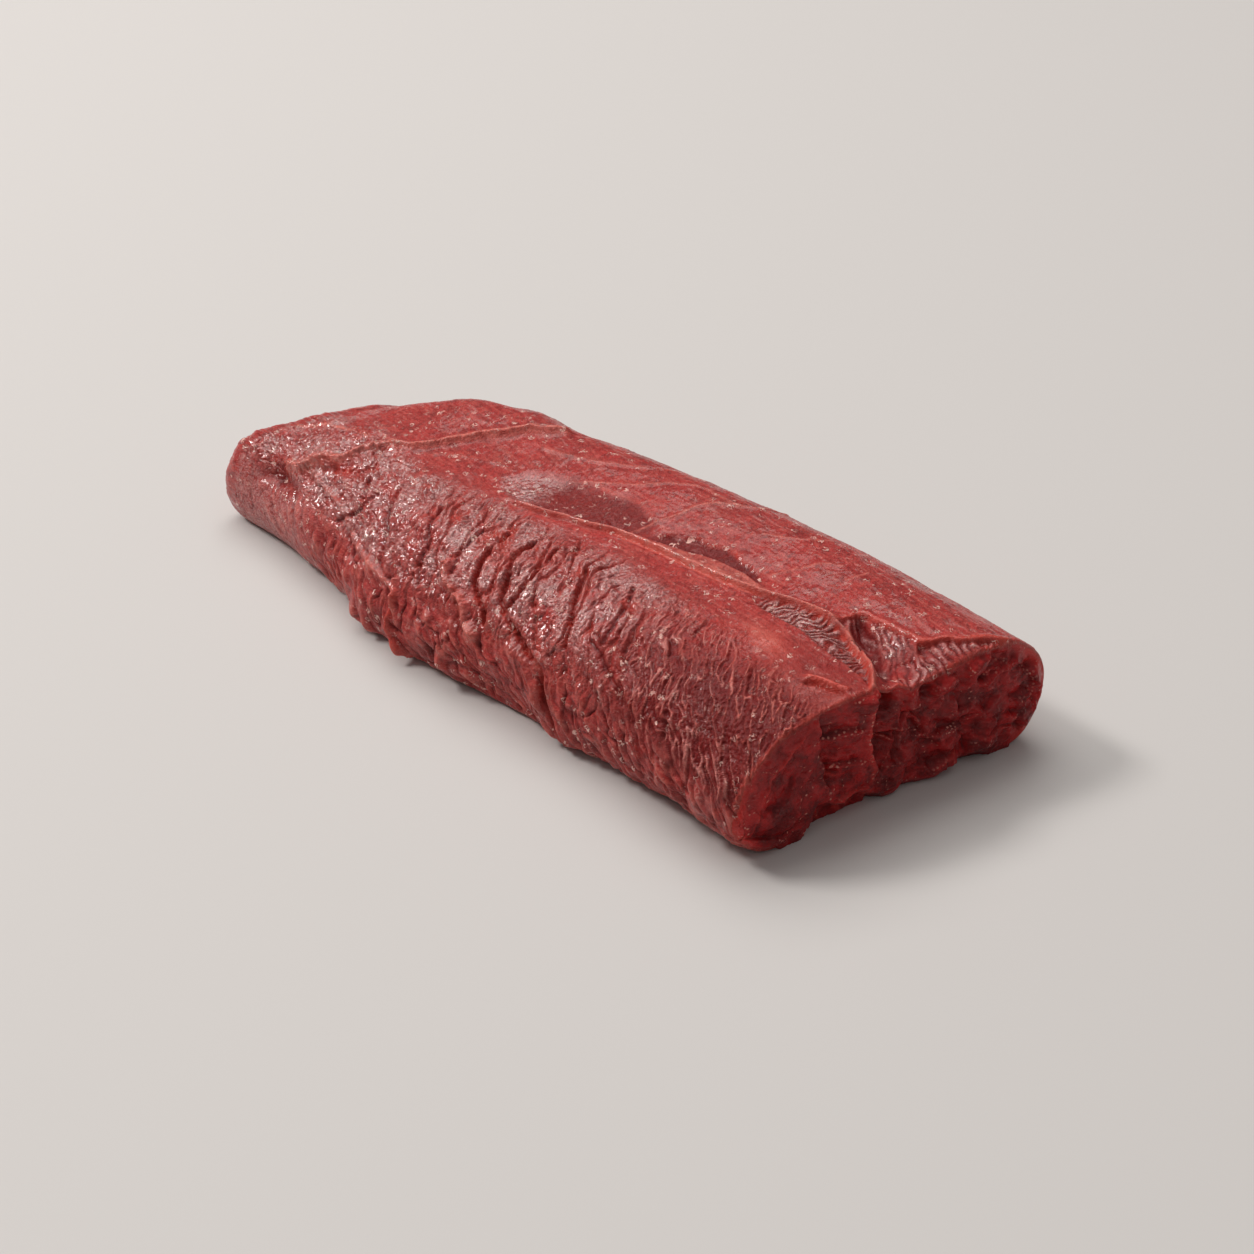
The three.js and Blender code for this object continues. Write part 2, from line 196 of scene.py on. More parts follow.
# Thin threads of membrane and marbling that lie on the smooth top.
threads = (
    {"name": "cross", "height": 0.3, "width": 0.6, "pale": 0.75, "route": (
        (10, 77), (12, 82), (14, 87), (16, 91), (18, 98.5), (23, 103.6), (29, 107), (31, 110), (33, 118))},
    {"name": "marbling", "height": 0.25, "width": 0.55, "pale": 1.3, "silverAndSheen": -1.0, "route": (
        (-109, 43.5), (-102, 48.5), (-96, 50.6), (-89, 51.7), (-82, 52.5))},
    {"name": "backLeft", "height": 0.2, "width": 0.6, "pale": 0.55, "route": (
        (-18, 84), (-12, 88), (-1, 95.5), (5, 101.5), (12, 105.6), (18, 105.4), (26, 105))},
    {"name": "backRight", "height": 0.15, "width": 0.5, "pale": 0.6, "route": (
        (40, 99.5), (47, 102.6), (51, 107), (55, 111))},
    {"name": "curl1", "height": 0.15, "width": 0.5, "pale": 0.6, "route": (
        (54, 89), (58, 95.5), (61, 101), (65, 104))},
    {"name": "curl2", "height": 0.12, "width": 0.4, "pale": 0.8, "route": (
        (70, 100.5), (71, 103), (72, 107))},
    {"name": "farBack", "height": 0.25, "width": 0.9, "pale": 0.2, "route": (
        (-60, 62), (-52, 68), (-44, 72), (-36, 75))},
    {"name": "farBack2", "height": 0.25, "width": 0.8, "pale": 0.3, "route": (
        (-36, 86), (-28, 90), (-18, 95), (-8, 101), (0, 108))},
)
# Lumps, and hollows where the height is negative.
# dark on a hollow is painted shade and glow a painted glow; the glowSpot's pale and glow are a painted
# highlight.
lumps = (
    {"name": "farLip", "at": (-111, 31), "along": 6, "across": 8, "turn": 0, "height": 2.4},
    {"name": "farPale", "at": (-89, 36), "along": 6, "across": 4, "turn": 30, "height": 1.3, "pale": 0.45},
    {"name": "farHollow", "at": (-96, 27), "along": 7, "across": 2.8, "turn": -4, "height": -2.4,
     "dark": 0.8, "silverAndSheen": -1.5},
    {"name": "farBelly", "at": (-80, 22), "along": 11, "across": 7, "turn": -10, "height": 0.8},
    {"name": "farCheek", "at": (-56, 32), "along": 11, "across": 7, "turn": -20, "height": 0.9},
    {"name": "farCheek2", "at": (-38, 44), "along": 7, "across": 9, "turn": 0, "height": 0.9},
    {"name": "backSwell1", "at": (-74, 91), "along": 8, "across": 9, "turn": 0, "height": 1.4},
    {"name": "backSwell2", "at": (-54, 97), "along": 10, "across": 10, "turn": 0, "height": 1.8},
    {"name": "knob1", "at": (-43, 8), "along": 8, "across": 9, "turn": 0, "height": 2.0},
    {"name": "knob2", "at": (-26, 7), "along": 4, "across": 5, "turn": 0, "height": 1.0},
    {"name": "knob3", "at": (-8.5, 11.5), "along": 2.2, "across": 2.8, "turn": 0, "height": 1.9,
     "glow": 0.8},
    {"name": "knob3Dent", "at": (-13, 12), "along": 2.4, "across": 2.6, "turn": 0, "height": -1.5,
     "dark": 0.8},
    {"name": "flap", "at": (0, 15), "along": 1.6, "across": 1.4, "turn": 0, "height": 0.9, "glow": 0.7},
    {"name": "waist", "at": (10, 10), "along": 12, "across": 9, "turn": 0, "height": -1.8},
    {"name": "knob4", "at": (37, 9), "along": 5, "across": 7, "turn": 0, "height": 1.6},
    {"name": "waist2", "at": (78, 8), "along": 14, "across": 8, "turn": 0, "height": -1.2},
    {"name": "ribHollow", "at": (3, 31), "along": 3.2, "across": 3.6, "turn": 0, "height": -1.5,
     "dark": 0.7},
    {"name": "glowSpot", "at": (73, 67.5), "along": 8, "across": 3.6, "turn": -6, "height": 0.3,
     "pale": 0.6, "glow": 0.7, "dark": -0.4},
    {"name": "membrane", "at": (96, 64), "along": 12, "across": 6, "turn": 18, "height": 0.2, "pale": 0.2,
     "wet": 0.2, "silverAndSheen": 0.2},
)
bevel = {
    "edge": ((76, 87), (80, 89.5), (81.5, 92.5), (84, 94.9), (89, 95.9), (94, 96.9), (98, 97.6),
             (101, 98), (103, 99.8), (104.5, 103), (107, 105.8), (109, 108.5), (111, 112), (114, 118)),
    "depth": 2.6, "run": 10, "step": 1.1,
}
cutFace = {
    # the front lobe stands out and ends in a step, down to the cleft beside the rear lobe
    "lobeEdge": ((-3.2, 0), (-4.5, 8), (-4.6, 15), (-6.6, 20), (-6.9, 26), (-5.8, 33.5), (-5.0, 40)),
    "cleftDepth": 5.4, "cleftRun": 5, "cleftTop": 38, "cleftLength": 34,
    # the rounded left half of the lobe ends in a ridge, and a flat block lies right of it
    "ridge": ((-17, 8), (-19, 16), (-20.3, 22), (-20.9, 27), (-21.4, 32.5), (-22.5, 40)),
    "ridgeStep": 3.8, "ridgeReach": 6.5, "blockTilt": 0.17,
    # what lies under this line falls back
    "footLine": ((-24, 3), (-20, 9), (-16.5, 9), (-13, 6.6), (-9.5, 7.4), (-4.5, 7), (-1, 3), (4, 1.8),
                 (8, 3.4), (15, 1.5), (21, 3.4), (27, 4.4), (32, 2.6), (37, -1), (43, -4), (50, -5)),
    "footDepth": 3.6, "footRun": 5.0,
    "rimBand": 4.2,
    "lumps": ((-38, 12, 9, 1.5), (-30, 24, 6, -0.5), (14, 22, 9, -1.2), (40, 14, 9, 0.9), (28, 30, 7, 0.5),
              (-27, 8, 5, 0.9), (4, 6, 4, 0.8)),
    "chunk": 6.5, "chunkTilt": 3.2, "chunkStep": 1.1,
}
# Steps on the cut face, in (y, z): the side on the left of the route stands out by lift and falls
# away over reach; dots are specks of fat, glow a painted glow on a bright, lit torn edge.
cutSteps = (
    {"name": "upperRow", "lift": 1.6, "reach": 3.5, "dots": 1.0, "route": (
        (-8.5, 27.4), (-12.5, 28.2), (-17, 27.2), (-20.3, 27.4))},
    {"name": "lowerRow", "lift": 1.7, "reach": 4.5, "dots": 0.8, "glow": 0.3, "route": (
        (-7.5, 18.2), (-11.5, 18), (-14.8, 18.3), (-17.2, 17.2))},
    {"name": "notch", "lift": 2.0, "reach": 3.0, "glow": 0.9, "route": (
        (-14.5, 15.2), (-17, 16.2), (-19.4, 16.8))},
    {"name": "footEdge", "lift": 1.4, "reach": 2.0, "glow": 1.0, "dots": 0.4, "route": (
        (-4.8, 7.4), (-9.8, 7.8), (-13, 7.0), (-15, 5.8))},
    {"name": "ridgeEdge", "lift": -0.8, "reach": 3.0, "glow": 0.6, "route": (
        (-22, 36), (-21.4, 32.5), (-20.9, 27), (-20.3, 22), (-19, 16))},
    {"name": "lobeRim", "lift": 0.0, "reach": 3.0, "glow": 0.9, "dots": 0.7, "route": (
        (-6.3, 34), (-7.4, 26), (-7.1, 20), (-5.4, 15), (-5.3, 8))},
    {"name": "leftRim", "lift": 0.6, "reach": 3.0, "glow": 0.8, "route": (
        (-41, 8), (-38.5, 16), (-34.5, 23), (-28.5, 29), (-24, 33))},
    {"name": "bladeLow", "lift": -1.3, "reach": 4.0, "route": ((-44, 9), (-36, 5), (-30, 4.5), (-25, 6))},
    {"name": "bladeDiagonal", "lift": 1.2, "reach": 4.0, "route": ((-27, 22), (-31, 16), (-36, 12.5))},
    {"name": "rearRow", "lift": 1.7, "reach": 5.0, "dots": 1.0, "route": (
        (29, 15.6), (24, 15.2), (20, 15), (13, 15))},
    {"name": "rearTopRow", "lift": -1.0, "reach": 4.0, "dots": 0.9, "route": (
        (35, 28), (29, 27.8), (24.5, 27.4))},
    {"name": "chunkEdge1", "lift": -2.0, "reach": 4.0, "glow": 0.3, "route": (
        (2.5, 30), (4.2, 24), (4, 17), (2.2, 10))},
    {"name": "chunkEdge2", "lift": 1.7, "reach": 3.0, "glow": 0.35, "dots": 0.2, "route": (
        (4, 17.6), (0, 20), (-4.5, 20.4))},
    {"name": "chunkEdge3", "lift": -1.8, "reach": 4.0, "glow": 0.3, "route": (
        (7, 26), (9.5, 23), (11.6, 20), (12, 14.5))},
    {"name": "rearLow", "lift": 1.6, "reach": 3.0, "glow": 0.5, "dots": 0.2, "route": (
        (24, 6.6), (19, 5.6), (14.5, 4.2))},
    {"name": "rearLow2", "lift": 1.4, "reach": 3.0, "glow": 0.3, "route": (
        (42, 6.5), (37, 8.5), (32, 8), (28, 9.5))},
    {"name": "rimInner", "lift": -0.9, "reach": 2.5, "dots": 0.5, "route": (
        (47.3, 10.5), (48, 14), (47, 18), (42.5, 25.5), (36, 30), (30, 32.5))},
)


# What the material takes from the mesh: fat and membrane with painted highlights on crests, a painted
# glow on thin edges and creases, darker meat and painted shade in hollows, wet film, silvery skin with a
# painted sheen.
toneNames = ("pale", "glow", "dark", "wet", "silverAndSheen")


def smoothstep(low, high, value):
    t = np.clip((value - low) / (high - low), 0, 1)
    return t * t * (3 - 2 * t)


def alongPiece(values, u):
    stations = np.array(form["stations"], float)
    values = np.array(values, float)
    top = len(stations) - 1
    before, after = np.maximum(np.arange(top + 1) - 1, 0), np.minimum(np.arange(top + 1) + 1, top)
    slope = (values[after] - values[before]) / (stations[after] - stations[before])
    i = np.clip(np.searchsorted(stations, u, side="right") - 1, 0, top - 1)
    h = stations[i + 1] - stations[i]
    t = (u - stations[i]) / h
    return hermite(values[i], values[i + 1], slope[i] * h, slope[i + 1] * h, t)


def hermite(p, q, m, n, t):
    return ((2 * t**3 - 3 * t**2 + 1) * p + (t**3 - 2 * t**2 + t) * m
            + (3 * t**2 - 2 * t**3) * q + (t**3 - t**2) * n)


def farX(c):
    return form["farX"] + form["farStepIn"] * c ** form["farPower"]


def cutX(c):
    return form["cutX"] + form["cutStepOut"] * c


def sectionColumn(points, v):
    i = min(int(v), lastLine - 1)
    t = v - i
    p, q = points[i], points[i + 1]
    angle = t * math.pi / 2
    if i == 0:
        return np.array((p[0] + (q[0] - p[0]) * math.sin(angle), q[1] * (1 - math.cos(angle))))
    if i == lastLine - 1:
        return np.array((q[0] + (p[0] - q[0]) * math.cos(angle), p[1] * (1 - math.sin(angle))))
    m, n = (q - points[i - 1]) / 2, (points[i + 2] - p) / 2
    rise = form["bellyLift"] * np.abs(q[1] - p[1])
    if i == 1:
        m = np.array((0 * rise, rise))
    if i == lastLine - 2:
        n = np.array((0 * rise, -rise))
    return hermite(p, q, m, n, t)


def smoothSkin(us, vs):
    # the skin before its relief: points in mm, and the girth s of each
    points = np.array([[alongPiece(side, us) for side in form[name]] for name in lineNames])
    columns = np.array([sectionColumn(points, v) for v in vs])
    y, z = columns[:, 0].T, columns[:, 1].T
    front, rear = points[1, 0][:, None], points[lastLine - 1, 0][:, None]
    c = np.clip((y - front) / (rear - front), 0, 1)
    start = farX(c) + form["farRound"]
    x = start + (cutX(c) - start) * us[:, None]
    step = np.hypot(np.diff(y, axis=1), np.diff(z, axis=1))
    s = np.concatenate([np.zeros((len(us), 1)), np.cumsum(step, axis=1)], axis=1)
    return np.stack([x, y, z], axis=-1), s


def gradientNoise(a, b, seed):
    # smooth noise over a plane, about -1 to 1
    rng = np.random.default_rng(seed)
    angle = rng.random((256, 256)) * 2 * math.pi
    gx, gy = np.cos(angle), np.sin(angle)
    ia, ib = np.floor(a).astype(int), np.floor(b).astype(int)
    fa, fb = a - ia, b - ib

    def corner(da, db):
        k, m = (ia + da) % 256, (ib + db) % 256
        return gx[k, m] * (fa - da) + gy[k, m] * (fb - db)

    wa = fa**3 * (fa * (6 * fa - 15) + 10)
    wb = fb**3 * (fb * (6 * fb - 15) + 10)
    low = corner(0, 0) * (1 - wa) + corner(1, 0) * wa
    high = corner(0, 1) * (1 - wa) + corner(1, 1) * wa
    return (low * (1 - wb) + high * wb) * 1.5


def layered(a, b, seed, layers=3, gain=0.5):
    total, size = 0, 1.0
    for k in range(layers):
        total = total + gradientNoise(a * 2**k, b * 2**k, seed + k) * size
        size *= gain
    return total


def smoothRoute(route, steps=5):
    # a curve through every point of the route
    p = np.array(route, float)
    p = np.vstack([2 * p[0] - p[1], p, 2 * p[-1] - p[-2]])
    out = []
    for k in range(1, len(p) - 2):
        for t in np.arange(steps) / steps:
            out.append(hermite(p[k], p[k + 1], (p[k + 1] - p[k - 1]) / 2, (p[k + 2] - p[k]) / 2, t))
    return np.array(out + [p[-2]])


def nearest(route, x, s, reach=None):
    # distance to a route, positive on the side of greater s, and the share of the route there
    line = smoothRoute(route)
    offset, share = np.full(x.shape, 1e3), np.zeros(x.shape)
    near = np.ones(x.shape, bool)
    if reach is not None:
        near = ((x > line[:, 0].min() - reach) & (x < line[:, 0].max() + reach)
                & (s > line[:, 1].min() - reach) & (s < line[:, 1].max() + reach))
    px, ps = x[near], s[near]
    best, side, where = np.full(px.shape, 1e3), np.ones(px.shape), np.zeros(px.shape)
    for k, ((ax, a), (bx, b)) in enumerate(zip(line[:-1], line[1:])):
        dx, ds = bx - ax, b - a
        t = np.clip(((px - ax) * dx + (ps - a) * ds) / (dx * dx + ds * ds), 0, 1)
        distance = np.hypot(px - ax - dx * t, ps - a - ds * t)
        closer = distance < best
        best = np.where(closer, distance, best)
        side = np.where(closer, np.where(dx * (ps - a) - ds * (px - ax) >= 0, 1, -1), side)
        where = np.where(closer, (k + t) / (len(line) - 1), where)
    offset[near], share[near] = best * side, where
    return offset, share


def offsetFrom(route, x, s, reach=None):
    return nearest(route, x, s, reach)[0]


def edgeAt(name, x):
    line = smoothRoute(edges[name])
    return np.interp(x, line[:, 0], line[:, 1])


def window(value, start, end, soft):
    return smoothstep(start, start + soft, value) * (1 - smoothstep(end - soft, end, value))


def grooves(noise, narrow):
    # 1 along the lines where a noise passes zero, 0 away from them
    return np.exp(-(noise / narrow) ** 2)


def brokenPlanes(a, b, seed, tilt, step):
    # small planes at odd angles, each round its own centre, as torn or cut muscle has
    rng = np.random.default_rng(seed)
    jitterA, jitterB = rng.uniform(-0.4, 0.4, (2, 64, 64))
    tiltA, tiltB, level = rng.uniform(-1, 1, (3, 64, 64))
    ia, ib = np.floor(a).astype(int), np.floor(b).astype(int)
    total, weights = 0, 0
    for da in (-1, 0, 1):
        for db in (-1, 0, 1):
            k, m = (ia + da) % 64, (ib + db) % 64
            fromA, fromB = a - ia - da - 0.5 - jitterA[k, m], b - ib - db - 0.5 - jitterB[k, m]
            weight = np.exp(-14 * np.hypot(fromA, fromB))
            total = total + weight * (step * level[k, m] + tilt * (tiltA[k, m] * fromA
                                                                  + tiltB[k, m] * fromB))
            weights = weights + weight
    return total / weights


def lumpShape(lump, x, s):
    turn = math.radians(lump["turn"])
    dx, ds = x - lump["at"][0], s - lump["at"][1]
    a = (dx * math.cos(turn) + ds * math.sin(turn)) / lump["along"]
    b = (ds * math.cos(turn) - dx * math.sin(turn)) / lump["across"]
    return np.exp(-a * a - b * b)


def seamLip(x, s, low, high, tone):
    # stands proud at its front edge and falls off towards the patches behind it
    present = window(x, -30, 125, 12)
    lip = smoothstep(low - 0.6, low + 0.3, s) * (1 - smoothstep(high - 0.2, high + 0.8, s)) * present
    crest = np.exp(-((s - low - 0.7) / 0.85) ** 2) * present
    share = np.clip((s - low) / (high - low), 0, 1)
    height = seam["height"] * (0.7 * crest + 0.6 * lip * (1 - share) ** 0.8)
    behind = smoothstep(high - 0.6, high + 2.2, s) * np.exp(-np.maximum(s - high, 0) / 5)
    height -= seam["drop"] * behind * (window(x, -5, 62, 12) + smoothstep(78, 86, x))
    # the steep front face is painted brighter, a painted glow as if lit
    front = window(s, low - 1.3, low + 0.4, 0.6) * present
    tone["glow"] += front * (0.3 + 1.1 * window(x, 4, 62, 10) + 0.5 * smoothstep(60, 75, x))
    tone["wet"] -= 0.7 * window(s, low - 3, low + 0.2, 0.9) * present
    tone["pale"] += 0.3 * front * window(x, 4, 62, 10)
    broken = 0.75 + 0.6 * layered(x / 5, s / 3, 13)
    tone["pale"] += crest * broken * (0.5 + 0.5 * window(x, -8, 70, 14))
    tone["pale"] += lip * broken * (0.3 + 0.5 * window(x, 20, 70, 14) + 0.4 * smoothstep(62, 75, x))
    return height


def sunkenPatches(x, s, high, tone):
    # the long patch behind the seam, wet at its far end, and the darker wedge nearer the cut
    top = edgeAt("patchTop", x) + 1.5 * layered(x / 9, s / 9, 15)
    patch = (smoothstep(high - 0.3, high + 2.5, s) * (1 - smoothstep(top - 5, top + 0.5, s))
             * window(x, -38, 20, 10))
    tone["dark"] += 0.9 * patch * smoothstep(-30, -16, x)
    tone["wet"] += patch * (0.8 * (1 - smoothstep(-24, -12, x)) - 0.1)
    # the far end of the patch gets a painted sheen in the silvery tone, and its upper edge a painted glow
    tone["silverAndSheen"] += 0.55 * patch * (1 - smoothstep(-24, -14, x)) * smoothstep(
        0.10, 0.30, np.abs(layered(x / 2.4, s / 1.4, 17, 2)))
    tone["glow"] += 0.5 * window(s, top - 2.4, top + 0.3, 1.2) * window(x, -14, 14, 6)
    top = edgeAt("wedgeTop", x) + 0.8 * layered(x / 5, s / 5, 16)
    wedge = smoothstep(high, high + 1.2, s) * (1 - smoothstep(top - 2.4, top + 0.3, s)) * window(x, 13, 58, 9)
    tone["dark"] += 1.1 * wedge
    tone["wet"] -= 0.35 * wedge
    # a painted glow along the wedge's upper edge
    tone["glow"] += 0.5 * window(s, top - 1.8, top + 0.5, 1.1) * window(x, 22, 50, 6)
    tone["patch"] += patch + wedge
    return patch, wedge


def seamRelief(x, s, tone):
    # the lip that runs along the top, the two dark patches behind it and the wet facet near the cut
    low, high = edgeAt("seamLow", x), edgeAt("seamHigh", x)
    height = seamLip(x, s, low, high, tone)
    patch, wedge = sunkenPatches(x, s, high, tone)
    height -= seam["patch"] * patch
    height -= seam["wedge"] * wedge
    foot = edgeAt("facetLow", x)
    facet = smoothstep(foot - 0.5, foot + 1.4, s) * (1 - smoothstep(low - 1.4, low, s)) * smoothstep(
        56, 64, x)
    height -= seam["facet"] * facet * (0.55 + 0.45 * smoothstep(75, 92, x))
    tone["wet"] += facet * (0.9 - 0.6 * smoothstep(86, 96, x))
    tone["dark"] += facet * (0.7 + 0.4 * smoothstep(82, 92, x))
    tone["facet"] += facet
    return height


def mainRelief(x, s, tone):
    wobble = 0.9 * layered(x / 9, s / 9, 11)
    height = seamRelief(x + 0.5 * wobble, s + 0.5 * wobble, tone)
    for line in skinLines + threads:
        d = offsetFrom(line["route"], x, s, reach=14) + wobble * (0.35 if line["width"] < 1 else 0.6)
        shape = np.exp(-(d / line["width"]) ** 2)
        uneven = 1 + 0.5 * gradientNoise(x / 4, s / 4, 12)
        height += line["height"] * shape * (0.5 + 0.5 * uneven)
        height += line.get("puff", 0) * np.exp(-(d / 3.2) ** 2)
        height -= line.get("drop", 0) * smoothstep(0, 1.0, -d) * np.exp(-np.maximum(-d, 0) / 4)
        for name in toneNames:
            tone[name] += line.get(name, 0) * shape * uneven
    for lump in lumps:
        shape = lumpShape(lump, x + wobble, s + wobble)
        height += lump["height"] * shape
        for name in toneNames:
            tone[name] += lump.get(name, 0) * shape
    lobe = smoothstep(76, 84, x) * smoothstep(80, 88, s)
    d = offsetFrom(bevel["edge"], x, s) + wobble * 0.8
    height -= (bevel["depth"] * smoothstep(0, bevel["run"], -d)
               + bevel["step"] * smoothstep(0, 0.7, -d) - 0.3 * np.exp(-((d - 0.6) / 0.9) ** 2)) * lobe
    # a painted glow along the bevel's edge
    tone["glow"] += 0.9 * lobe * np.exp(-((d - 0.2) / 0.8) ** 2)
    tone["torn"] += smoothstep(0, 1.2, -d) * lobe
    return height


# The fine grain of each region: how far its forms stand out, in mm, and how its broken planes tilt and step.
grain = {
    "warp": 1.8,
    "lean": 0.36, "leanByCut": 0.4,       # slant of the wrinkles on the front slope
    "nearSlope": {"planes": 0.75, "tilt": 1.5, "step": 0.45, "creases": 0.9, "fine": 0.5, "worm": 0.42},
    "farEnd": {"planes": 0.75, "tilt": 1.8, "step": 0.5, "veins": 0.5, "crackle": 0.4, "worm": 0.4},
    "lowBand": {"planes": 0.7, "tilt": 1.6, "step": 0.4, "bands": 0.6, "folds": 1.4, "nibble": 0.1},
    "top": {"swell": 0.22, "fibres": 0.07, "cross": 0.10, "worm": 0.05},
    "backSide": {"planes": 0.6, "tilt": 1.6, "step": 0.4, "fibres": 0.3},
    "torn": {"planes": 0.8, "tilt": 1.6, "step": 0.5, "strips": 0.55, "stripWidth": 2.3},
    "pebbles": 0.34,
}


def leanAt(x):
    return grain["lean"] + grain["leanByCut"] * smoothstep(35, 75, x)


def stripes(phase):
    # rounded ribs one after the other, 0 between them and 1 on their tops
    return np.abs(np.sin(math.pi * phase))


def crackled(worm):
    # 1 on the pads between the fine lines of the skin, 0 along the lines
    return smoothstep(0.03, 0.22, worm)


def nearSlope(x, s, wx, ws, worm, near, tone):
    # bundles with deep creases in the middle, closer wrinkles towards the cut
    look = grain["nearSlope"]
    across = wx + leanAt(x) * (ws - 45)
    planes = brokenPlanes(across / 7.5, ws / 11, 41, look["tilt"], look["step"])
    deep = layered(across / 6.5, ws / 26, 42, 2, 0.45)
    wrinkle = layered(across / 3.3, ws / 10, 43, 2, 0.5)
    fine = layered(across / 1.7, ws / 5, 45, 2, 0.5)
    broad = 1 - smoothstep(25, 60, x)
    height = near * (look["planes"] * planes - look["creases"] * grooves(deep, 0.06) * (0.3 + 0.7 * broad)
                     + grooves(wrinkle, 0.11) * (0.5 - 0.95 * broad) + look["fine"] * np.abs(fine)
                     + look["worm"] * worm)
    # painted glow and painted shade in the creases, and painted highlights on the fine crests
    tone["glow"] += 0.6 * near * broad * grooves(deep, 0.09)
    tone["dark"] += near * broad * (0.15 * grooves(deep, 0.07) + 0.2 * grooves(wrinkle, 0.12))
    tone["pale"] += near * (0.06 + 0.12 * broad) * np.clip(np.abs(fine) * 1.6 - 0.4, 0, 1)
    # darker towards the cut and low on the slope: partly darker meat, partly painted shade where the light
    # falls off
    tone["dark"] += 1.05 * near * smoothstep(25, 65, x) * (1 - smoothstep(44, 66, s))
    byCut = smoothstep(66, 86, x) * window(s, 36, 80, 8)
    tone["dark"] += 0.55 * byCut
    tone["wet"] -= 0.25 * byCut
    tone["silverAndSheen"] -= 0.3 * byCut
    # a painted sheen on the pads between the creases, and painted highlights along the narrow ridges near the
    # cut
    pads = smoothstep(0.04, 0.2, np.abs(deep)) * (1 - 0.6 * grooves(wrinkle, 0.1)) * smoothstep(29, 38, s)
    patchy = smoothstep(-0.4, 0.2, gradientNoise(x / 13, s / 9, 48))
    tone["silverAndSheen"] += near * patchy * (broad * pads * crackled(worm)
                                       + (1 - broad) * 0.5 * grooves(wrinkle, 0.06))
    tone["pale"] += 0.95 * near * (1 - broad) * (0.4 + 0.6 * patchy) * grooves(wrinkle, 0.06)
    tone["wet"] += near * (0.12 + 0.48 * broad + (0.22 + 0.18 * broad) * layered(x / 14, s / 11, 47))
    return height


def farEnd(x, s, wx, ws, worm, far, tone):
    # wet planes with veins between them; painted shade and a painted glow in the veins, a painted sheen on
    # the planes
    look = grain["farEnd"]
    planes = brokenPlanes(wx / 9, ws / 7, 51, look["tilt"], look["step"])
    vein = layered(wx / 5.5 + ws / 9, ws / 4.5, 53, 2)
    crackle = np.abs(layered(wx / 2.2, ws / 1.8, 55, 2))
    tone["wet"] += far * (0.8 + 0.5 * layered(x / 11, s / 9, 57))
    tone["dark"] += far * 0.45 * grooves(vein, 0.08)
    patchy = smoothstep(-0.35, 0.25, layered(x / 12, s / 8, 58))
    tone["glow"] += 0.5 * far * grooves(vein, 0.1)
    tone["silverAndSheen"] += far * (0.1 + 0.75 * patchy) * (1 - 0.8 * grooves(vein, 0.12)) * crackled(worm)
    return far * (look["planes"] * planes - look["veins"] * grooves(vein, 0.07) + look["crackle"] * crackle
                  + look["worm"] * worm)


def lowBand(x, s, wx, ws, worm, low, tone):
    # slanting folds above the floor, with painted shade in their grooves, painted highlights on their crests
    # and a painted sheen on the crackled skin
    look = grain["lowBand"]
    slant = wx + 0.75 * ws
    planes = brokenPlanes(slant / 9, (ws - wx) / 16, 59, look["tilt"], look["step"])
    bands = layered(slant / 7, (ws - wx) / 24, 61, 2)
    nibble = layered(slant / 2.4, ws / 6, 63, 2)
    folds = np.abs(layered(slant / 4.5, (ws - wx) / 15, 67, 2, 0.4))
    tone["dark"] += low * (0.35 * grooves(bands, 0.09) + 0.35 * grooves(folds, 0.1))
    tone["pale"] += 0.45 * low * smoothstep(0.3, 0.7, folds)
    tone["silverAndSheen"] += 0.55 * low * crackled(worm) * (1 - smoothstep(-92, -66, x))
    tone["wet"] += low * (0.2 + 0.2 * layered(x / 12, s / 8, 65))
    return low * (0.35 + 0.65 * smoothstep(-75, -50, x)) * (
        look["planes"] * planes - look["bands"] * grooves(bands, 0.07) + look["folds"] * folds
        + look["nibble"] * np.abs(nibble) - 0.4)


def smoothTop(x, s, wx, ws, worm, top, tone):
    # gentle swells and fine fibres, streaked in the silvery tone with its painted sheen
    look = grain["top"]
    tone["wet"] += top * (0.2 + 0.2 * layered(x / 10, s / 8, 77))
    tone["silverAndSheen"] += 0.35 * top * smoothstep(0.25, 0.6, layered(ws / 1.3, wx / 9, 74, 2)) * smoothstep(
        -0.1, 0.4, gradientNoise(x / 16, s / 12, 76))
    return top * (look["swell"] * layered(wx / 13, ws / 8, 71)
                  + look["fibres"] * layered(ws / 1.5, wx / 12, 73)
                  + look["cross"] * np.abs(layered((wx + ws) / 2.4, (ws - wx) / 4.5, 75))
                  + look["worm"] * worm)


def backSide(wx, ws, back, tone):
    look = grain["backSide"]
    tone["dark"] += 0.3 * back
    return back * (look["planes"] * brokenPlanes(ws / 8, wx / 14, 79, look["tilt"], look["step"])
                   + look["fibres"] * np.abs(layered(ws / 2.2, wx / 7, 83)))


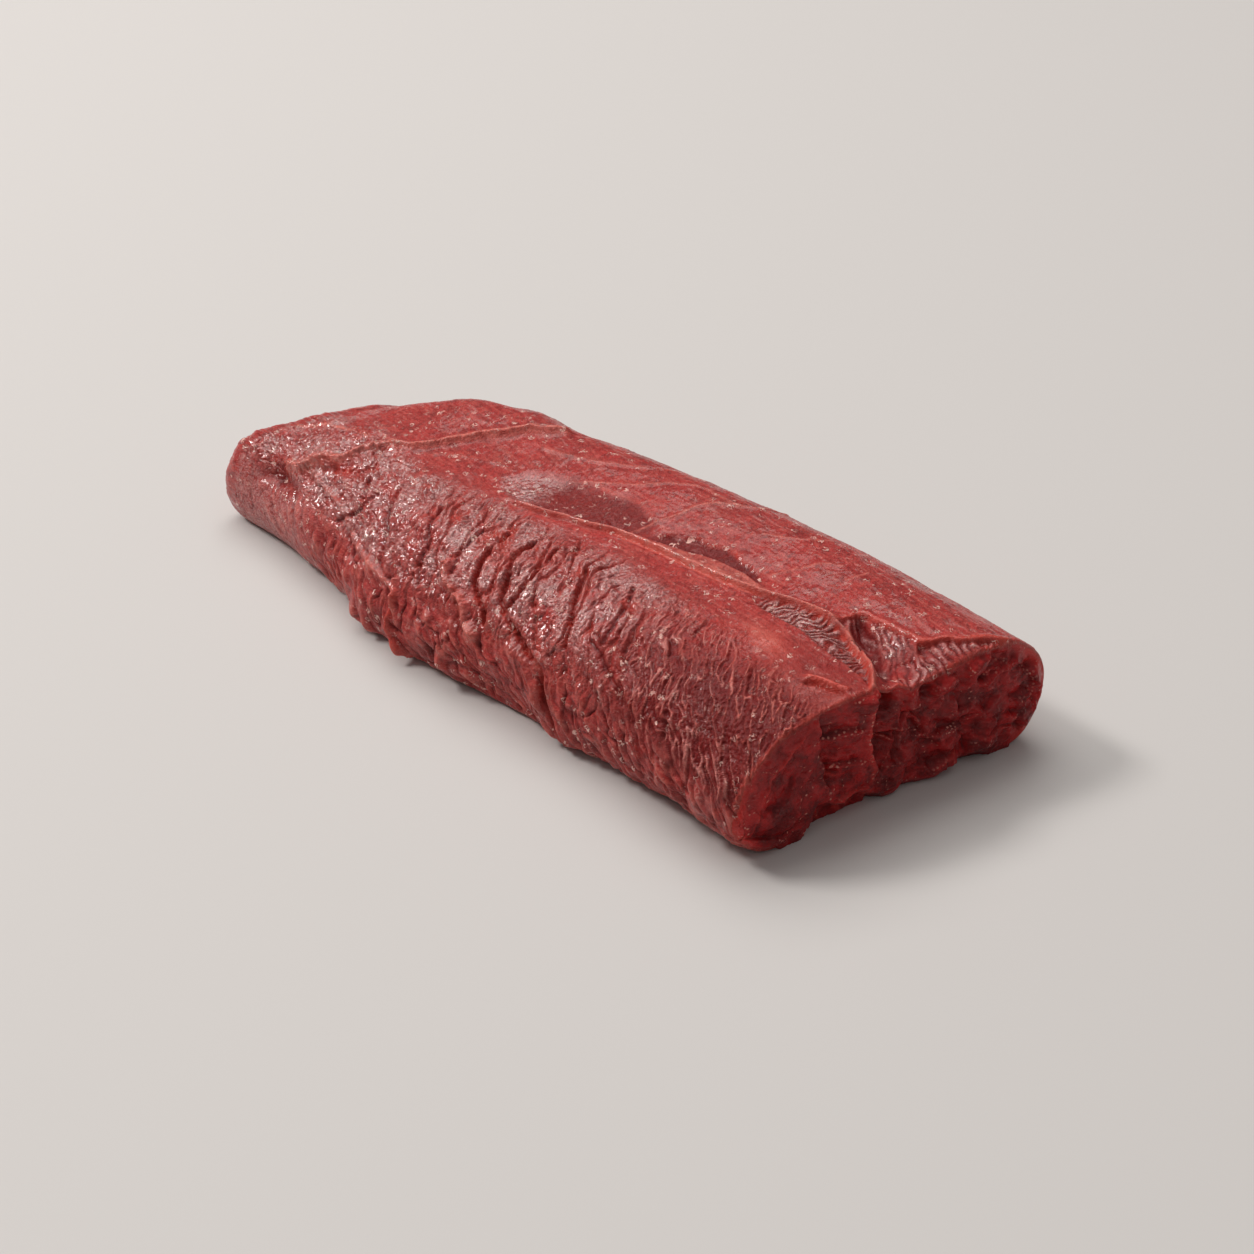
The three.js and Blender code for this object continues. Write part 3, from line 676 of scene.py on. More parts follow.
def tornAndSunken(x, s, wx, ws, tone):
    # the bevel is torn into strips, the facet is ribbed and the sunken patches are pebbled; painted
    # shade lies between strips and ribs, painted highlights on their tops, a painted glow between the ribs
    look = grain["torn"]
    strips = stripes((0.5 * wx + 0.9 * ws) / look["stripWidth"] + 0.8 * layered(x / 6, s / 6, 85, 2))
    streaky = smoothstep(-0.2, 0.3, gradientNoise(x / 7, s / 7, 86))
    height = tone["torn"] * (look["strips"] * strips * (0.4 + 0.6 * streaky) - 0.3
                             + look["planes"] * brokenPlanes(wx / 7, ws / 7, 84, look["tilt"], look["step"]))
    tone["wet"] += tone["torn"] * (0.3 * streaky - 0.2)
    tone["silverAndSheen"] += 0.6 * tone["torn"] * streaky * smoothstep(0.75, 0.98, strips)
    tone["dark"] += tone["torn"] * (0.4 + (1 - smoothstep(0.1, 0.6, strips)))
    rib = stripes((0.9 * wx - 0.45 * ws) / seam["rib"] + 0.7 * layered(x / 5, s / 5, 87, 2))
    tone["dark"] += 0.6 * tone["facet"] * (1 - smoothstep(0.2, 0.6, rib))
    tone["glow"] += 0.45 * tone["facet"] * (1 - smoothstep(0.3, 0.75, rib))
    height += tone["facet"] * seam["ribHeight"] * (rib + 0.5 * np.abs(layered(x / 1.5, s / 3, 88)) - 0.6)
    tone["silverAndSheen"] += tone["facet"] * smoothstep(0.6, 0.95, rib) * (1.3 - 0.9 * smoothstep(82, 92, x))
    return height + tone["patch"] * grain["pebbles"] * np.abs(layered(wx / 1.8, ws / 2.2, 89, 2))


def fineRelief(x, s, tone):
    # every region has its own grain: fingers and wrinkles in front, planes far off, a smooth top
    wx = x + grain["warp"] * layered(x / 12, s / 12, 21)
    ws = s + grain["warp"] * layered(x / 12, s / 12, 31)
    worm = np.abs(layered(wx / 1.5, ws / 1.9, 40, 2))
    upper = 54 + 8 * smoothstep(-50, -20, x) - 4 * smoothstep(30, 90, x)
    slope = window(s, 22, 1e3, 8) * (1 - smoothstep(upper - 4, upper + 8, s))
    far = slope * (1 - smoothstep(-46, -34, x))
    near = slope * smoothstep(-46, -34, x)
    low = (1 - smoothstep(22, 31, s)) * smoothstep(1, 6, s)
    top = smoothstep(upper - 4, upper + 8, s) * (1 - smoothstep(128, 140, s))
    back = smoothstep(122, 138, s) * (1 - 0.85 * smoothstep(88, 102, x))
    height = nearSlope(x, s, wx, ws, worm, near, tone)
    height += farEnd(x, s, wx, ws, worm, far, tone)
    height += lowBand(x, s, wx, ws, worm, low, tone)
    height += smoothTop(x, s, wx, ws, worm, top, tone)
    height += backSide(wx, ws, back, tone)
    height += tornAndSunken(x, s, wx, ws, tone)
    return height


def skinFibres(x, s):
    # how far along and across the muscle fibres each point lies, in mm
    slope = smoothstep(24, 31, s) * (1 - smoothstep(54, 66, s)) * smoothstep(-52, -36, x)
    across = s * (1 - slope) + (x + leanAt(x) * (s - 45)) * slope
    along = x * (1 - slope) + s * slope
    return along, across


def sideOf(route, y, z):
    # how far y lies beyond an upright route, at each height
    line = smoothRoute(route)
    return y - np.interp(z, line[:, 1], line[:, 0])


def cutRelief(y, z):
    # how far the cut face stands out, the painted glow of its bright lit edges and of the lit streaks under
    # the foot line, and its fat specks
    face = cutFace
    sway = 0.5 * layered(y / 7, z / 7, 91)
    down = 0.25 + 0.75 * smoothstep(face["cleftTop"] - face["cleftLength"],
                                    face["cleftTop"] - face["cleftLength"] / 2, z)
    d = sideOf(face["lobeEdge"], y, z) + sway
    height = -face["cleftDepth"] * smoothstep(0, 2.2, d) * np.exp(-np.maximum(d - 2.2, 0)
                                                                  / face["cleftRun"]) * down
    onBlock = 1 - smoothstep(0, 1.4, d)
    r = sideOf(face["ridge"], y, z) + 1.5 * sway + 0.5 * layered(y / 2.5, z / 2.5, 92)
    upright = smoothstep(6, 14, z)
    height -= face["ridgeStep"] * smoothstep(-0.3, 0.5, r) * np.exp(
        -np.maximum(r, 0) / face["ridgeReach"]) * onBlock * upright
    height += face["blockTilt"] * np.clip(r, 0, 15) * onBlock * upright
    line = smoothRoute(face["footLine"])
    underFoot = np.interp(y, line[:, 0], line[:, 1]) + sway - z
    height -= face["footDepth"] * smoothstep(-0.5, face["footRun"], underFoot) * smoothstep(-26, -19, y)
    for ly, lz, reach, lift in face["lumps"]:
        height += lift * np.exp(-((y - ly) ** 2 + (z - lz) ** 2) / reach**2)
    wy, wz = y + 1.6 * layered(y / 7, z / 7, 93), z + 1.6 * layered(y / 7, z / 7, 95)
    rough = (0.3 + 0.7 * smoothstep(-6, 0, y)) * smoothstep(0.5, 5, z)
    height += rough * brokenPlanes(wy / face["chunk"], wz / face["chunk"], 97, face["chunkTilt"],
                                   face["chunkStep"])
    height += 0.45 * np.abs(layered(wy / 4, wz / 4, 99, 3)) * rough
    height += 0.3 * np.abs(layered(wy / 1.6, wz / 2.2, 105, 2)) + 0.5 * layered(wy / 5, wz / 6, 106, 2)
    streaks = np.clip(layered((y + 0.5 * z) / 1.6, z / 7, 107) + 0.1, 0, 1)
    glow, dots = 1.3 * streaks * window(y, -21, 4, 4) * smoothstep(0.3, 1.5, underFoot), 0 * y
    for step in cutSteps:
        d, share = nearest(step["route"], y + 0.5 * sway, z + 0.5 * sway, reach=14)
        held = 1 - np.abs(2 * share - 1) ** 6
        jump = smoothstep(-0.35, 0.35, d) - 0.5
        height += step["lift"] * jump * np.exp(-np.abs(d) / step["reach"]) * held
        edge = np.exp(-((d - 0.3) / 0.55) ** 2) * held
        glow = glow + step.get("glow", 0) * edge
        dots = dots + step.get("dots", 0) * edge
    return height, glow, dots


def gridNormals(points):
    along = np.gradient(points, axis=0)
    around = np.gradient(points, axis=1)
    normal = np.cross(along, around)
    return normal / (np.linalg.norm(normal, axis=-1, keepdims=True) + 1e-12)


def blurred(values, alongSteps, aroundSteps):
    # smoothed over a number of grid steps each way
    for axis, steps in ((0, alongSteps), (1, aroundSteps)):
        kernel = np.exp(-(np.arange(-3 * steps, 3 * steps + 1) / steps) ** 2 / 2)
        kernel /= kernel.sum()
        padding = [(0, 0), (0, 0)]
        padding[axis] = (3 * steps, 3 * steps)
        wide = np.pad(values, padding, mode="edge")
        total = 0
        for k, weight in enumerate(kernel):
            part = wide[k:k + values.shape[0]] if axis == 0 else wide[:, k:k + values.shape[1]]
            total = total + weight * part
        values = total
    return values


def paintShadeAndCrestHighlight(height, tone, alongSteps, aroundSteps, strength):
    # crevices are painted darker, a painted shade, and crests a little paler, a painted highlight, than the
    # skin about them
    proud = height - blurred(height, alongSteps, aroundSteps)
    tone["dark"] = tone["dark"] + strength * np.clip(-proud - 0.04, 0, 1)
    tone["pale"] = tone["pale"] + 0.25 * strength * np.clip(proud - 0.08, 0, 0.6)


# The rim of the cut: a bright thin edge with a painted glow, rounded off over about a millimetre.
rim = {
    "tones": {"glow": 0.55, "pale": 0.15, "dark": -0.6, "silverAndSheen": -1.0},
    "toneWidth": 1.8, "roundWidth": 1.2, "roundDepth": 0.7,
    "fade": 1.5,               # how far the ends take up the relief of the skin beside them
}


def dressedSkin():
    # the skin's points without and with their relief, the girth at each, and the tones
    k = np.arange(division["rows"] + 1) / division["rows"]
    us = k + division["crowding"] * np.sin(math.pi * k)
    vs = np.concatenate([[0.0]] + [i + np.arange(1, n + 1) / n
                                   for i, n in enumerate(division["columns"])])
    base, s = smoothSkin(us, vs)
    x = base[..., 0]
    tone = {name: np.zeros(x.shape) for name in toneNames + ("torn", "facet", "patch")}
    height = mainRelief(x, s, tone)
    height += fineRelief(x, s, tone)
    height *= smoothstep(0, 3, base[..., 2])
    # painted shade in the crevices and painted highlights on the crests
    paintShadeAndCrestHighlight(height, tone, 5, 3, division["paintedCreviceShade"])
    front, rear = base[:, below, 1][:, None], base[:, -1 - above, 1][:, None]
    toCut = cutX(np.clip((base[..., 1] - front) / (rear - front), 0, 1)) - x
    # the cut's rim gets its painted glow here
    edge = (1 - smoothstep(0.2, rim["toneWidth"], toCut)) * (0.7 + 0.5 * layered(s / 5, x / 5, 19))
    for name, share in rim["tones"].items():
        tone[name] += share * edge
    inwards = 1 - np.clip(toCut / rim["roundWidth"], 0, 1)
    height -= rim["roundDepth"] * (1 - np.sqrt(np.clip(1 - inwards**2, 0, 1)))
    skin = base + gridNormals(base) * height[..., None]
    skin[:, 1:-1, 2] = np.maximum(skin[:, 1:-1, 2], 0.15)
    skin[:, (0, -1)] = base[:, (0, -1)]
    print("skin relief made:", skin.shape)
    return base, skin, s, tone


def placeCut(cap):
    # where the cut's points lie along the piece, and their tones
    y, z, toRim = cap["y"], cap["z"], cap["toRim"]
    relief, glow, dots = cutRelief(y, z)
    rearLobeShade = 0.3 * smoothstep(-3, 3, y) * smoothstep(2, 7, toRim) * (1 - smoothstep(34, 44, y))
    blade = 0.55 * window(y, -38, -21, 4) * (0.7 + layered(y / 6, z / 6, 94))
    # painted shade in the deep recesses and on the rear lobe, besides the darker meat of the blade
    face = {"dark": np.clip(-0.9 - relief, 0, 3) * 0.2 + rearLobeShade + blade, "pale": dots}
    paintShadeAndCrestHighlight(relief, face, 2, 3, division["paintedCutCreviceShade"])
    relief = relief * smoothstep(0, 2.2 + 5.5 * smoothstep(32, 44, y), toRim)
    # a painted glow near the rim, strongest at the sides
    sides = 0.2 + 0.8 * smoothstep(38, 45, np.abs(y))
    rimGlow = 1.1 * np.exp(-(toRim / cutFace["rimBand"]) ** 3) * sides
    return cutX(cap["level"]) + relief, {
        "cut": smoothstep(0.1, 0.9, toRim), "along": y, "across": z, "dark": face["dark"],
        "glow": rimGlow + glow, "pale": face["pale"], "wet": 0.05 + 0 * y}


def placeFar(cap):
    # the far end swells out in the middle, and less where it is low
    y, z = cap["y"], cap["z"]
    fill = 1 - (1 - np.abs(2 * cap["across"] - 1) ** 4) * (1 - np.abs(2 * cap["upward"] - 1) ** 3)
    tall = np.ptp(z, axis=1)[:, None]
    swell = form["farRound"] * np.sqrt(np.maximum(1 - fill**2, 0)) * smoothstep(0, 9, tall)
    coarse = 0.8 * np.abs(layered(y / 7, z / 5, 101, 3)) + 0.2 * layered(y / 2, z / 2, 103)
    out = farX(cap["level"]) + form["farRound"] - swell - coarse * smoothstep(0, 5, cap["toRim"])
    return out, {"along": y, "across": z, "wet": 0 * y + 0.4}


class Steak:
    # gathers the points, faces and tones of the one closed mesh
    def __init__(self):
        self.base, self.skin, s, tone = dressedSkin()
        x = self.base[..., 0]
        self.columns = self.skin.shape[1]
        self.ids = np.arange(x.size).reshape(x.shape)
        along, across = skinFibres(x, s)
        self.layers = {name: [tone[name].ravel()] for name in toneNames}
        self.layers["along"], self.layers["across"] = [along.ravel()], [across.ravel()]
        self.layers["cut"] = [np.zeros(x.size)]
        self.vertices = [self.skin.reshape(-1, 3)]
        self.quads = []
        self.count = x.size
        self.addQuads(self.ids)

    def addPoints(self, points, extra):
        self.vertices.append(points)
        for name in self.layers:
            values = np.broadcast_to(extra.get(name, 0.0), len(points))
            self.layers[name].append(values.astype(float))
        self.count += len(points)
        return np.arange(self.count - len(points), self.count)

    def addQuads(self, ids, outward=1):
        quads = np.stack([ids[:-1, :-1], ids[1:, :-1], ids[1:, 1:], ids[:-1, 1:]], -1)
        self.quads.append((quads if outward > 0 else quads[..., ::-1]).reshape(-1, 4))

    def addCap(self, row, outward, place):
        # ruled columns between the top and the lower half of a rim, with the floor between its ends
        edge, edgeIds = self.skin[row], self.ids[row]
        floorSteps = self.columns - 1 - 2 * (below + above)
        t = np.arange(1, floorSteps)[:, None] / floorSteps
        floor = edge[0] * (1 - t) + edge[-1] * t
        lowPoints = np.vstack([edge[:below + 1][::-1], floor, edge[-1 - above:][::-1]])
        highPoints = edge[below:self.columns - above]
        n = len(highPoints)
        h = np.linspace(0, 1, division["capRows"] + 1)[None, :, None]
        grid = lowPoints[:, None] * (1 - h) + highPoints[:, None] * h
        across = np.linspace(0, 1, n)[:, None] * np.ones((1, grid.shape[1]))
        upward = np.broadcast_to(h[..., 0], across.shape)
        rise = np.linalg.norm(highPoints - lowPoints, axis=1)[:, None]
        onFloor = (np.arange(n)[:, None] >= below) & (np.arange(n)[:, None] < n - above)
        toRim = np.minimum((1 - upward) * rise, np.where(onFloor, 1e3, upward * rise))
        moved = edge[:, 0] - self.base[row, :, 0]
        lowMoved = np.concatenate([moved[:below + 1][::-1], 0 * floor[:, 0], moved[-1 - above:][::-1]])
        moved = lowMoved[:, None] * (1 - upward) + moved[below:self.columns - above, None] * upward
        front, rear = edge[below, 1], edge[-1 - above, 1]
        level = np.clip((grid[..., 1] - front) / (rear - front), 0, 1)
        face, extra = place({"y": grid[..., 1], "z": grid[..., 2], "across": across, "upward": upward,
                             "toRim": toRim, "level": level})
        grid[..., 0] = face + moved * np.exp(-(toRim / rim["fade"]) ** 2)

        ids = np.zeros((n, grid.shape[1]), int)
        inside = (slice(1, -1), slice(1, -1))
        ids[inside] = self.addPoints(grid[inside].reshape(-1, 3),
                                     {name: v[inside].ravel() for name, v in extra.items()}
                                     ).reshape(ids[inside].shape)
        onGround = (slice(below + 1, n - 1 - above), 0)
        floorIds = self.addPoints(grid[onGround], {name: v[onGround] for name, v in extra.items()})
        ids[:, 0] = np.concatenate([edgeIds[:below + 1][::-1], floorIds, edgeIds[-1 - above:][::-1]])
        ids[:, -1] = edgeIds[below:self.columns - above]
        ids[0], ids[-1] = edgeIds[below], edgeIds[self.columns - 1 - above]
        self.addQuads(ids, outward)
        return floorIds

    def faces(self, outline):
        # the quads, those that shrink to triangles at the ends of a cap, and the underside in one piece
        quads = np.vstack(self.quads)
        pinched = (quads[:, 0] == quads[:, 1]) | (quads[:, 2] == quads[:, 3])
        faces = quads[~pinched].tolist()
        for quad in quads[pinched].tolist():
            corners = list(dict.fromkeys(quad))
            if len(corners) > 2:
                faces.append(corners)
        faces.append(outline[::-1].tolist())
        return faces


def buildSteak():
    steak = Steak()
    cutFloor = steak.addCap(-1, 1, placeCut)
    farFloor = steak.addCap(0, -1, placeFar)
    print("ends made")

    outline = np.concatenate([steak.ids[:, 0], cutFloor, steak.ids[::-1, -1], farFloor[::-1]])
    points = np.vstack(steak.vertices) - np.array((*form["middle"], 0))
    mesh = bpy.data.meshes.new("sirloin")
    mesh.from_pydata((points / 1000).tolist(), [], steak.faces(outline))
    mesh.polygons.foreach_set("use_smooth", [True] * len(mesh.polygons))
    for name, parts in steak.layers.items():
        values = np.concatenate(parts)
        if name not in ("along", "across"):
            values = np.clip(values, 0, 1.5)
        mesh.attributes.new(name, "FLOAT", "POINT").data.foreach_set("value", values.astype(np.float32))
    mesh.validate()
    piece = bpy.data.objects.new("sirloin", mesh)
    bpy.context.scene.collection.objects.link(piece)
    print("steak meshed:", len(mesh.vertices), "vertices,", len(mesh.polygons), "faces")
    return piece


# The meat's finish. Colours are linear. A pattern's number is how often it repeats in a millimetre.
meatLook = {
    "deep": (0.170, 0.008, 0.008),
    "mid": (0.450, 0.037, 0.033),
    "pale": (0.660, 0.170, 0.135),
    # a painted glow: brighter red, as of light shining through thin meat
    "glow": (0.600, 0.058, 0.038),
    # silvery membrane, together with a painted sheen on the wet pads
    "silverAndSheen": (0.690, 0.340, 0.325),
    # curly flecks of fat, together with painted glints
    "fatAndGlint": (0.940, 0.560, 0.490),
    "cutDeep": (0.150, 0.005, 0.006),
    "cut": (0.480, 0.013, 0.014),
    # a painted glow on the lit edges of the cut
    "cutGlow": (0.620, 0.034, 0.028),
    "cutFat": (0.900, 0.360, 0.290),
    "broad": 0.055, "blotch": 0.35, "mottle": 0.9,            # darker and paler meat
    "streaks": 0.9, "fibres": 1.6, "fibreStretch": 0.09,      # along the muscle
    "crackle": 0.8, "worm": 0.85, "micro": 2.2,
    "curls": 0.45, "spots": 0.29, "spotAreas": 0.07,          # flecks of fat, with painted glints
    "cutPatches": 0.16, "fibreEnds": 1.1, "specks": 0.9, "rows": 0.15, "rowAreas": 0.11,
    # how high each pattern stands in the fine surface, in mm
    "wormHeight": 0.40, "microHeight": 0.10, "fibreHeight": 0.14, "fleckHeight": 0.2, "speckHeight": 0.15,
    "skinHeight": 0.2,
    "roughness": 0.42, "roughnessSway": 0.1,
    "coat": 1.0, "coatInHollows": 0.35, "coatRoughness": 0.10, "coatIor": 1.6,
    "specular": 0.2,
    "subsurface": 0.22, "subsurfaceRadius": (1.0, 0.25, 0.18), "subsurfaceScale": 0.0022,
}


class Tree:
    # makes nodes and links them as it goes; what it is handed is either a number or another node's output
    def __init__(self, tree):
        self.tree = tree

    def add(self, kind, settings=None, **inputs):
        node = self.tree.nodes.new(kind)
        for key, value in (settings or {}).items():
            setattr(node, key, value)
        for key, value in inputs.items():
            name = key.replace("_", " ")
            socket = node.inputs[int(name[1:])] if name[0] == "i" and name[1:].isdigit() \
                else node.inputs[name]
            if isinstance(value, bpy.types.NodeSocket):
                self.tree.links.new(value, socket)
            else:
                socket.default_value = value
        return node

    def value(self, name):
        return self.add("ShaderNodeAttribute", {"attribute_name": name}).outputs["Fac"]

    def math(self, operation, a, b=0.0, clamp=False):
        return self.add("ShaderNodeMath", {"operation": operation, "use_clamp": clamp},
                        i0=a, i1=b).outputs[0]

    def span(self, value, low, high, toLow=0.0, toHigh=1.0):
        return self.add("ShaderNodeMapRange", {"interpolation_type": "SMOOTHSTEP"}, Value=value,
                        From_Min=low, From_Max=high, To_Min=toLow, To_Max=toHigh).outputs[0]

    def mix(self, factor, a, b):
        node = self.tree.nodes.new("ShaderNodeMix")
        node.data_type = "RGBA"
        for index, value in ((0, factor), (6, a), (7, b)):
            if isinstance(value, bpy.types.NodeSocket):
                self.tree.links.new(value, node.inputs[index])
            else:
                node.inputs[index].default_value = value if index == 0 else (*value, 1.0)
        return node.outputs[2]

    def noise(self, vector, scale, detail=2.0, roughness=0.5, distortion=0.0):
        return self.add("ShaderNodeTexNoise", {"noise_dimensions": "3D"}, Vector=vector, Scale=scale,
                        Detail=detail, Roughness=roughness, Distortion=distortion).outputs[0]

    def lineOf(self, noise):
        # 0 along the lines where a noise passes its middle
        return self.math("ABSOLUTE", self.math("SUBTRACT", noise, 0.5))

    def cells(self, vector, scale, randomness=1.0):
        return self.add("ShaderNodeTexVoronoi", {"feature": "F1"}, Vector=vector, Scale=scale,
                        Randomness=randomness).outputs["Distance"]


def skinColour(t, inMm, inFibres, tone):
    # meat in patches and streaks, painted shade and glow from the mesh, silvery skin with a painted
    # sheen crackled by fine red lines, and curly flecks of fat with painted glints
    look = meatLook
    blotch = t.noise(inMm, look["blotch"], 3.0, 0.6, 0.5)
    mottle = t.noise(inMm, look["mottle"], 4.0, 0.7, 0.3)
    body = t.mix(t.span(t.noise(inMm, look["broad"], 3.0, 0.55), 0.20, 0.55, 0.55, 1.0),
                 look["deep"], look["mid"])
    body = t.mix(t.span(t.noise(inFibres, look["streaks"], 3.0, 0.6, 0.4), 0.44, 0.66, 0.0, 0.34),
                 body, look["pale"])
    body = t.mix(t.span(blotch, 0.34, 0.52, 0.5, 0.0), body, look["deep"])
    body = t.mix(t.span(mottle, 0.40, 0.50, 0.34, 0.0), body, look["deep"])
    body = t.mix(t.span(mottle, 0.54, 0.70, 0.0, 0.34), body, look["pale"])
    # the dark tone is darker meat and painted shade, the glow tone a painted glow
    body = t.mix(t.math("MULTIPLY", tone["dark"], 0.8, clamp=True), body, look["deep"])
    body = t.mix(t.math("MULTIPLY", tone["glow"], 0.85, clamp=True), body, look["glow"])
    # pale is fat and membrane, with painted highlights on the crests
    paleShare = t.math("MULTIPLY", tone["pale"], t.span(blotch, 0.30, 0.62, 0.35, 1.0), clamp=True)
    body = t.mix(paleShare, body, look["pale"])

    crackle = t.lineOf(t.noise(inMm, look["crackle"], 2.0, 0.5, 0.8))
    skinAndSheenShare = t.math("MULTIPLY", t.math("MULTIPLY", tone["silverAndSheen"], 0.95),
                       t.span(crackle, 0.01, 0.07, 0.3, 1.0), clamp=True)
    body = t.mix(skinAndSheenShare, body, look["silverAndSheen"])

    curl = t.lineOf(t.noise(inMm, look["curls"], 2.0, 0.5, 0.9))
    where = t.math("MULTIPLY", t.span(t.cells(inMm, look["spots"]), 0.27, 0.35, 1.0, 0.0),
                   t.span(t.noise(inMm, look["spotAreas"], 1.0), 0.41, 0.53, 0.25, 1.0))
    fleck = t.math("MULTIPLY", t.span(curl, 0.018, 0.044, 1.0, 0.0), where)
    body = t.mix(t.math("MULTIPLY", fleck, 0.9), body, look["fatAndGlint"])
    return body, skinAndSheenShare, fleck


def cutColour(t, inMm, tone):
    # the fresh cut: darker, with the ends of the fibres, painted shade in its recesses, a painted glow on
    # its lit edges, and rows of fat specks, which also sit on the crests as a painted highlight
    look = meatLook
    face = t.mix(t.span(t.noise(inMm, look["cutPatches"], 3.0, 0.6), 0.34, 0.62),
                 look["cutDeep"], look["cut"])
    face = t.mix(t.span(t.cells(inMm, look["fibreEnds"]), 0.12, 0.5, 0.3, 0.0), face, look["cut"])
    face = t.mix(t.math("MULTIPLY", tone["dark"], 0.7, clamp=True), face, look["cutDeep"])
    face = t.mix(t.math("MULTIPLY", tone["glow"], 0.8, clamp=True), face, look["cutGlow"])
    nearRow = t.span(t.lineOf(t.noise(inMm, look["rows"], 1.0, 0.5, 0.3)), 0.004, 0.018, 1.0, 0.0)
    someRows = t.span(t.noise(inMm, look["rowAreas"], 0.0), 0.46, 0.54)
    # the pale tone puts specks on the rows of dots and on the crests, where they are a painted highlight
    anyRow = t.math("ADD", t.math("MULTIPLY", nearRow, someRows),
                    t.math("MULTIPLY", tone["pale"], tone["cut"]), clamp=True)
    speck = t.cells(inMm, look["specks"], 0.8)
    specks = t.math("MULTIPLY", t.span(speck, 0.22, 0.42, 1.0, 0.0), anyRow)
    return t.mix(t.math("MULTIPLY", specks, 0.8), face, look["cutFat"]), specks


def fineSurface(t, inMm, inFibres, tone, skinAndSheenShare, fleck, specks):
    # wormy wrinkles about a millimetre apart, fibres, and the flecks standing a little out
    look = meatLook
    worm = t.span(t.lineOf(t.noise(inMm, look["worm"], 2.0, 0.5, 0.8)), 0.0, 0.12)
    rough = t.math("SUBTRACT", t.math("ADD", t.math("MULTIPLY", tone["wet"], 0.55), 0.25, clamp=True),
                   t.math("MULTIPLY", tone["cut"], 0.15))
    height = t.math("MULTIPLY", t.math("MULTIPLY", worm, look["wormHeight"]), rough)
    for layer, share in ((t.noise(inMm, look["micro"], 3.0, 0.6, 0.2), look["microHeight"]),
                         (t.noise(inFibres, look["fibres"], 3.0, 0.6, 0.3), look["fibreHeight"]),
                         (fleck, look["fleckHeight"]),
                         (specks, look["speckHeight"]),
                         (skinAndSheenShare, look["skinHeight"])):
        height = t.math("ADD", height, t.math("MULTIPLY", layer, share))
    return t.add("ShaderNodeBump", Strength=1.0, Distance=0.001, Height=height).outputs[0]


def makeMeat():
    look = meatLook
    material = bpy.data.materials.new("rawMeat")
    material.use_nodes = True
    material.node_tree.nodes.clear()
    t = Tree(material.node_tree)
    place = t.add("ShaderNodeTexCoord").outputs["Object"]
    inMm = t.add("ShaderNodeVectorMath", {"operation": "SCALE"}, i0=place, Scale=1000.0).outputs[0]
    tone = {name: t.value(name) for name in toneNames + ("cut",)}
    inFibres = t.add("ShaderNodeCombineXYZ", X=t.math("MULTIPLY", t.value("along"), look["fibreStretch"]),
                     Y=t.value("across"), Z=0.0).outputs[0]

    body, skinAndSheenShare, fleck = skinColour(t, inMm, inFibres, tone)
    face, specks = cutColour(t, inMm, tone)
    colour = t.mix(tone["cut"], body, face)
    bump = fineSurface(t, inMm, inFibres, tone, skinAndSheenShare, fleck, specks)

    # the wet film smooths the meat and coats it, less so in the hollows
    roughness = t.span(t.noise(inMm, 0.6, 2.0), 0.3, 0.7, look["roughness"] - look["roughnessSway"],
                       look["roughness"] + look["roughnessSway"])
    roughness = t.math("SUBTRACT", roughness, t.math("MULTIPLY", tone["wet"], 0.10))
    film = t.math("MULTIPLY", t.math("ADD", tone["wet"], 0.1, clamp=True),
                  t.span(tone["dark"], 0.2, 1.0, look["coat"], look["coatInHollows"]))
    shader = t.add("ShaderNodeBsdfPrincipled", Base_Color=colour, Roughness=roughness, Normal=bump,
                   Coat_Weight=film)
    for socket, name in (("Subsurface Weight", "subsurface"), ("Subsurface Radius", "subsurfaceRadius"),
                         ("Subsurface Scale", "subsurfaceScale"), ("Specular IOR Level", "specular"),
                         ("Coat Roughness", "coatRoughness"), ("Coat IOR", "coatIor")):
        shader.inputs[socket].default_value = look[name]
    t.add("ShaderNodeOutputMaterial", Surface=shader.outputs[0])
    return material


steak = buildSteak()
steak.data.materials.append(makeMeat())
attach(steak, "root")
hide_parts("steak")
print("steak dressed")

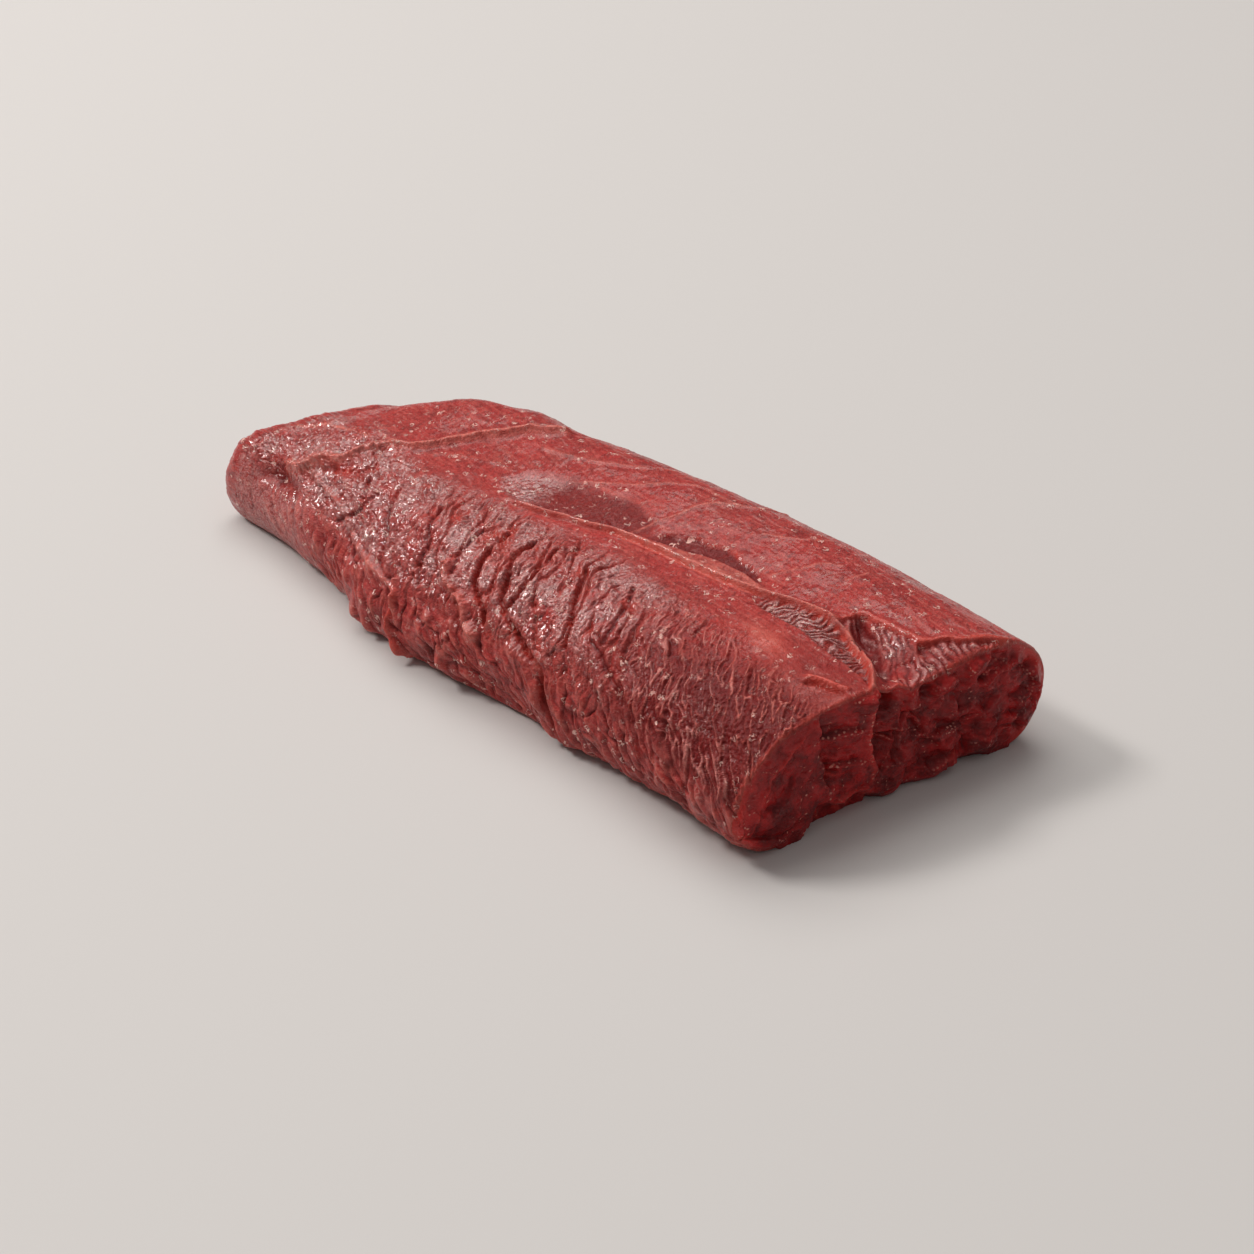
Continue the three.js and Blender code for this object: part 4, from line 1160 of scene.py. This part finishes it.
# A plain pale floor and soft studio light.
studio = {
    "floorColour": (0.610, 0.590, 0.578), "floorRoughness": 0.7, "floorHalf": 4.0,
    "skyColour": (1.0, 0.975, 0.95), "skyLow": 0.10, "skyHigh": 0.50,
    "lampColour": (1.0, 0.965, 0.93),
    # a long soft box up on the left, and a smaller one that gives the wet places their glints
    "softBox": {"from": (-0.42, 0.20, 0.88), "distance": 2.5, "long": 2.4, "short": 1.8, "power": 36.5},
    "glintBox": {"from": (-0.60, -0.34, 0.72), "distance": 2.5, "long": 0.6, "short": 0.5, "power": 31.0},
}


def makeFloor():
    mesh = bpy.data.meshes.new("floor")
    half = studio["floorHalf"]
    mesh.from_pydata([(-half, -half, 0), (half, -half, 0), (half, half, 0), (-half, half, 0)], [],
                     [(0, 1, 2, 3)])
    floor = bpy.data.objects.new("floor", mesh)
    bpy.context.scene.collection.objects.link(floor)
    material = bpy.data.materials.new("paleFloor")
    material.use_nodes = True
    shader = material.node_tree.nodes["Principled BSDF"]
    shader.inputs["Base Color"].default_value = (*studio["floorColour"], 1)
    shader.inputs["Roughness"].default_value = studio["floorRoughness"]
    mesh.materials.append(material)


def addBox(name):
    box = studio[name]
    data = bpy.data.lights.new(name, "AREA")
    data.shape = "RECTANGLE"
    data.size, data.size_y = box["long"], box["short"]
    data.energy = box["power"]
    data.color = studio["lampColour"]
    light = bpy.data.objects.new(name, data)
    bpy.context.scene.collection.objects.link(light)
    away = Vector(box["from"]).normalized()
    light.location = away * box["distance"]
    light.rotation_euler = away.to_track_quat("Z", "Y").to_euler()


def makeSky():
    # brighter overhead than near the horizon, as under the ceiling of a studio
    world = bpy.data.worlds.new("studio")
    world.use_nodes = True
    t = Tree(world.node_tree)
    sky = world.node_tree.nodes["Background"]
    sky.inputs[0].default_value = (*studio["skyColour"], 1)
    direction = t.add("ShaderNodeTexCoord").outputs["Generated"]
    height = t.math("MAXIMUM", t.add("ShaderNodeSeparateXYZ", Vector=direction).outputs["Z"], 0.0)
    strength = t.math("ADD", t.math("MULTIPLY", t.math("MULTIPLY", height, height),
                                    studio["skyHigh"] - studio["skyLow"]), studio["skyLow"])
    t.tree.links.new(strength, sky.inputs[1])
    bpy.context.scene.world = world


makeFloor()
addBox("softBox")
addBox("glintBox")
makeSky()
bpy.context.scene.view_settings.view_transform = "Standard"
print("studio lit")
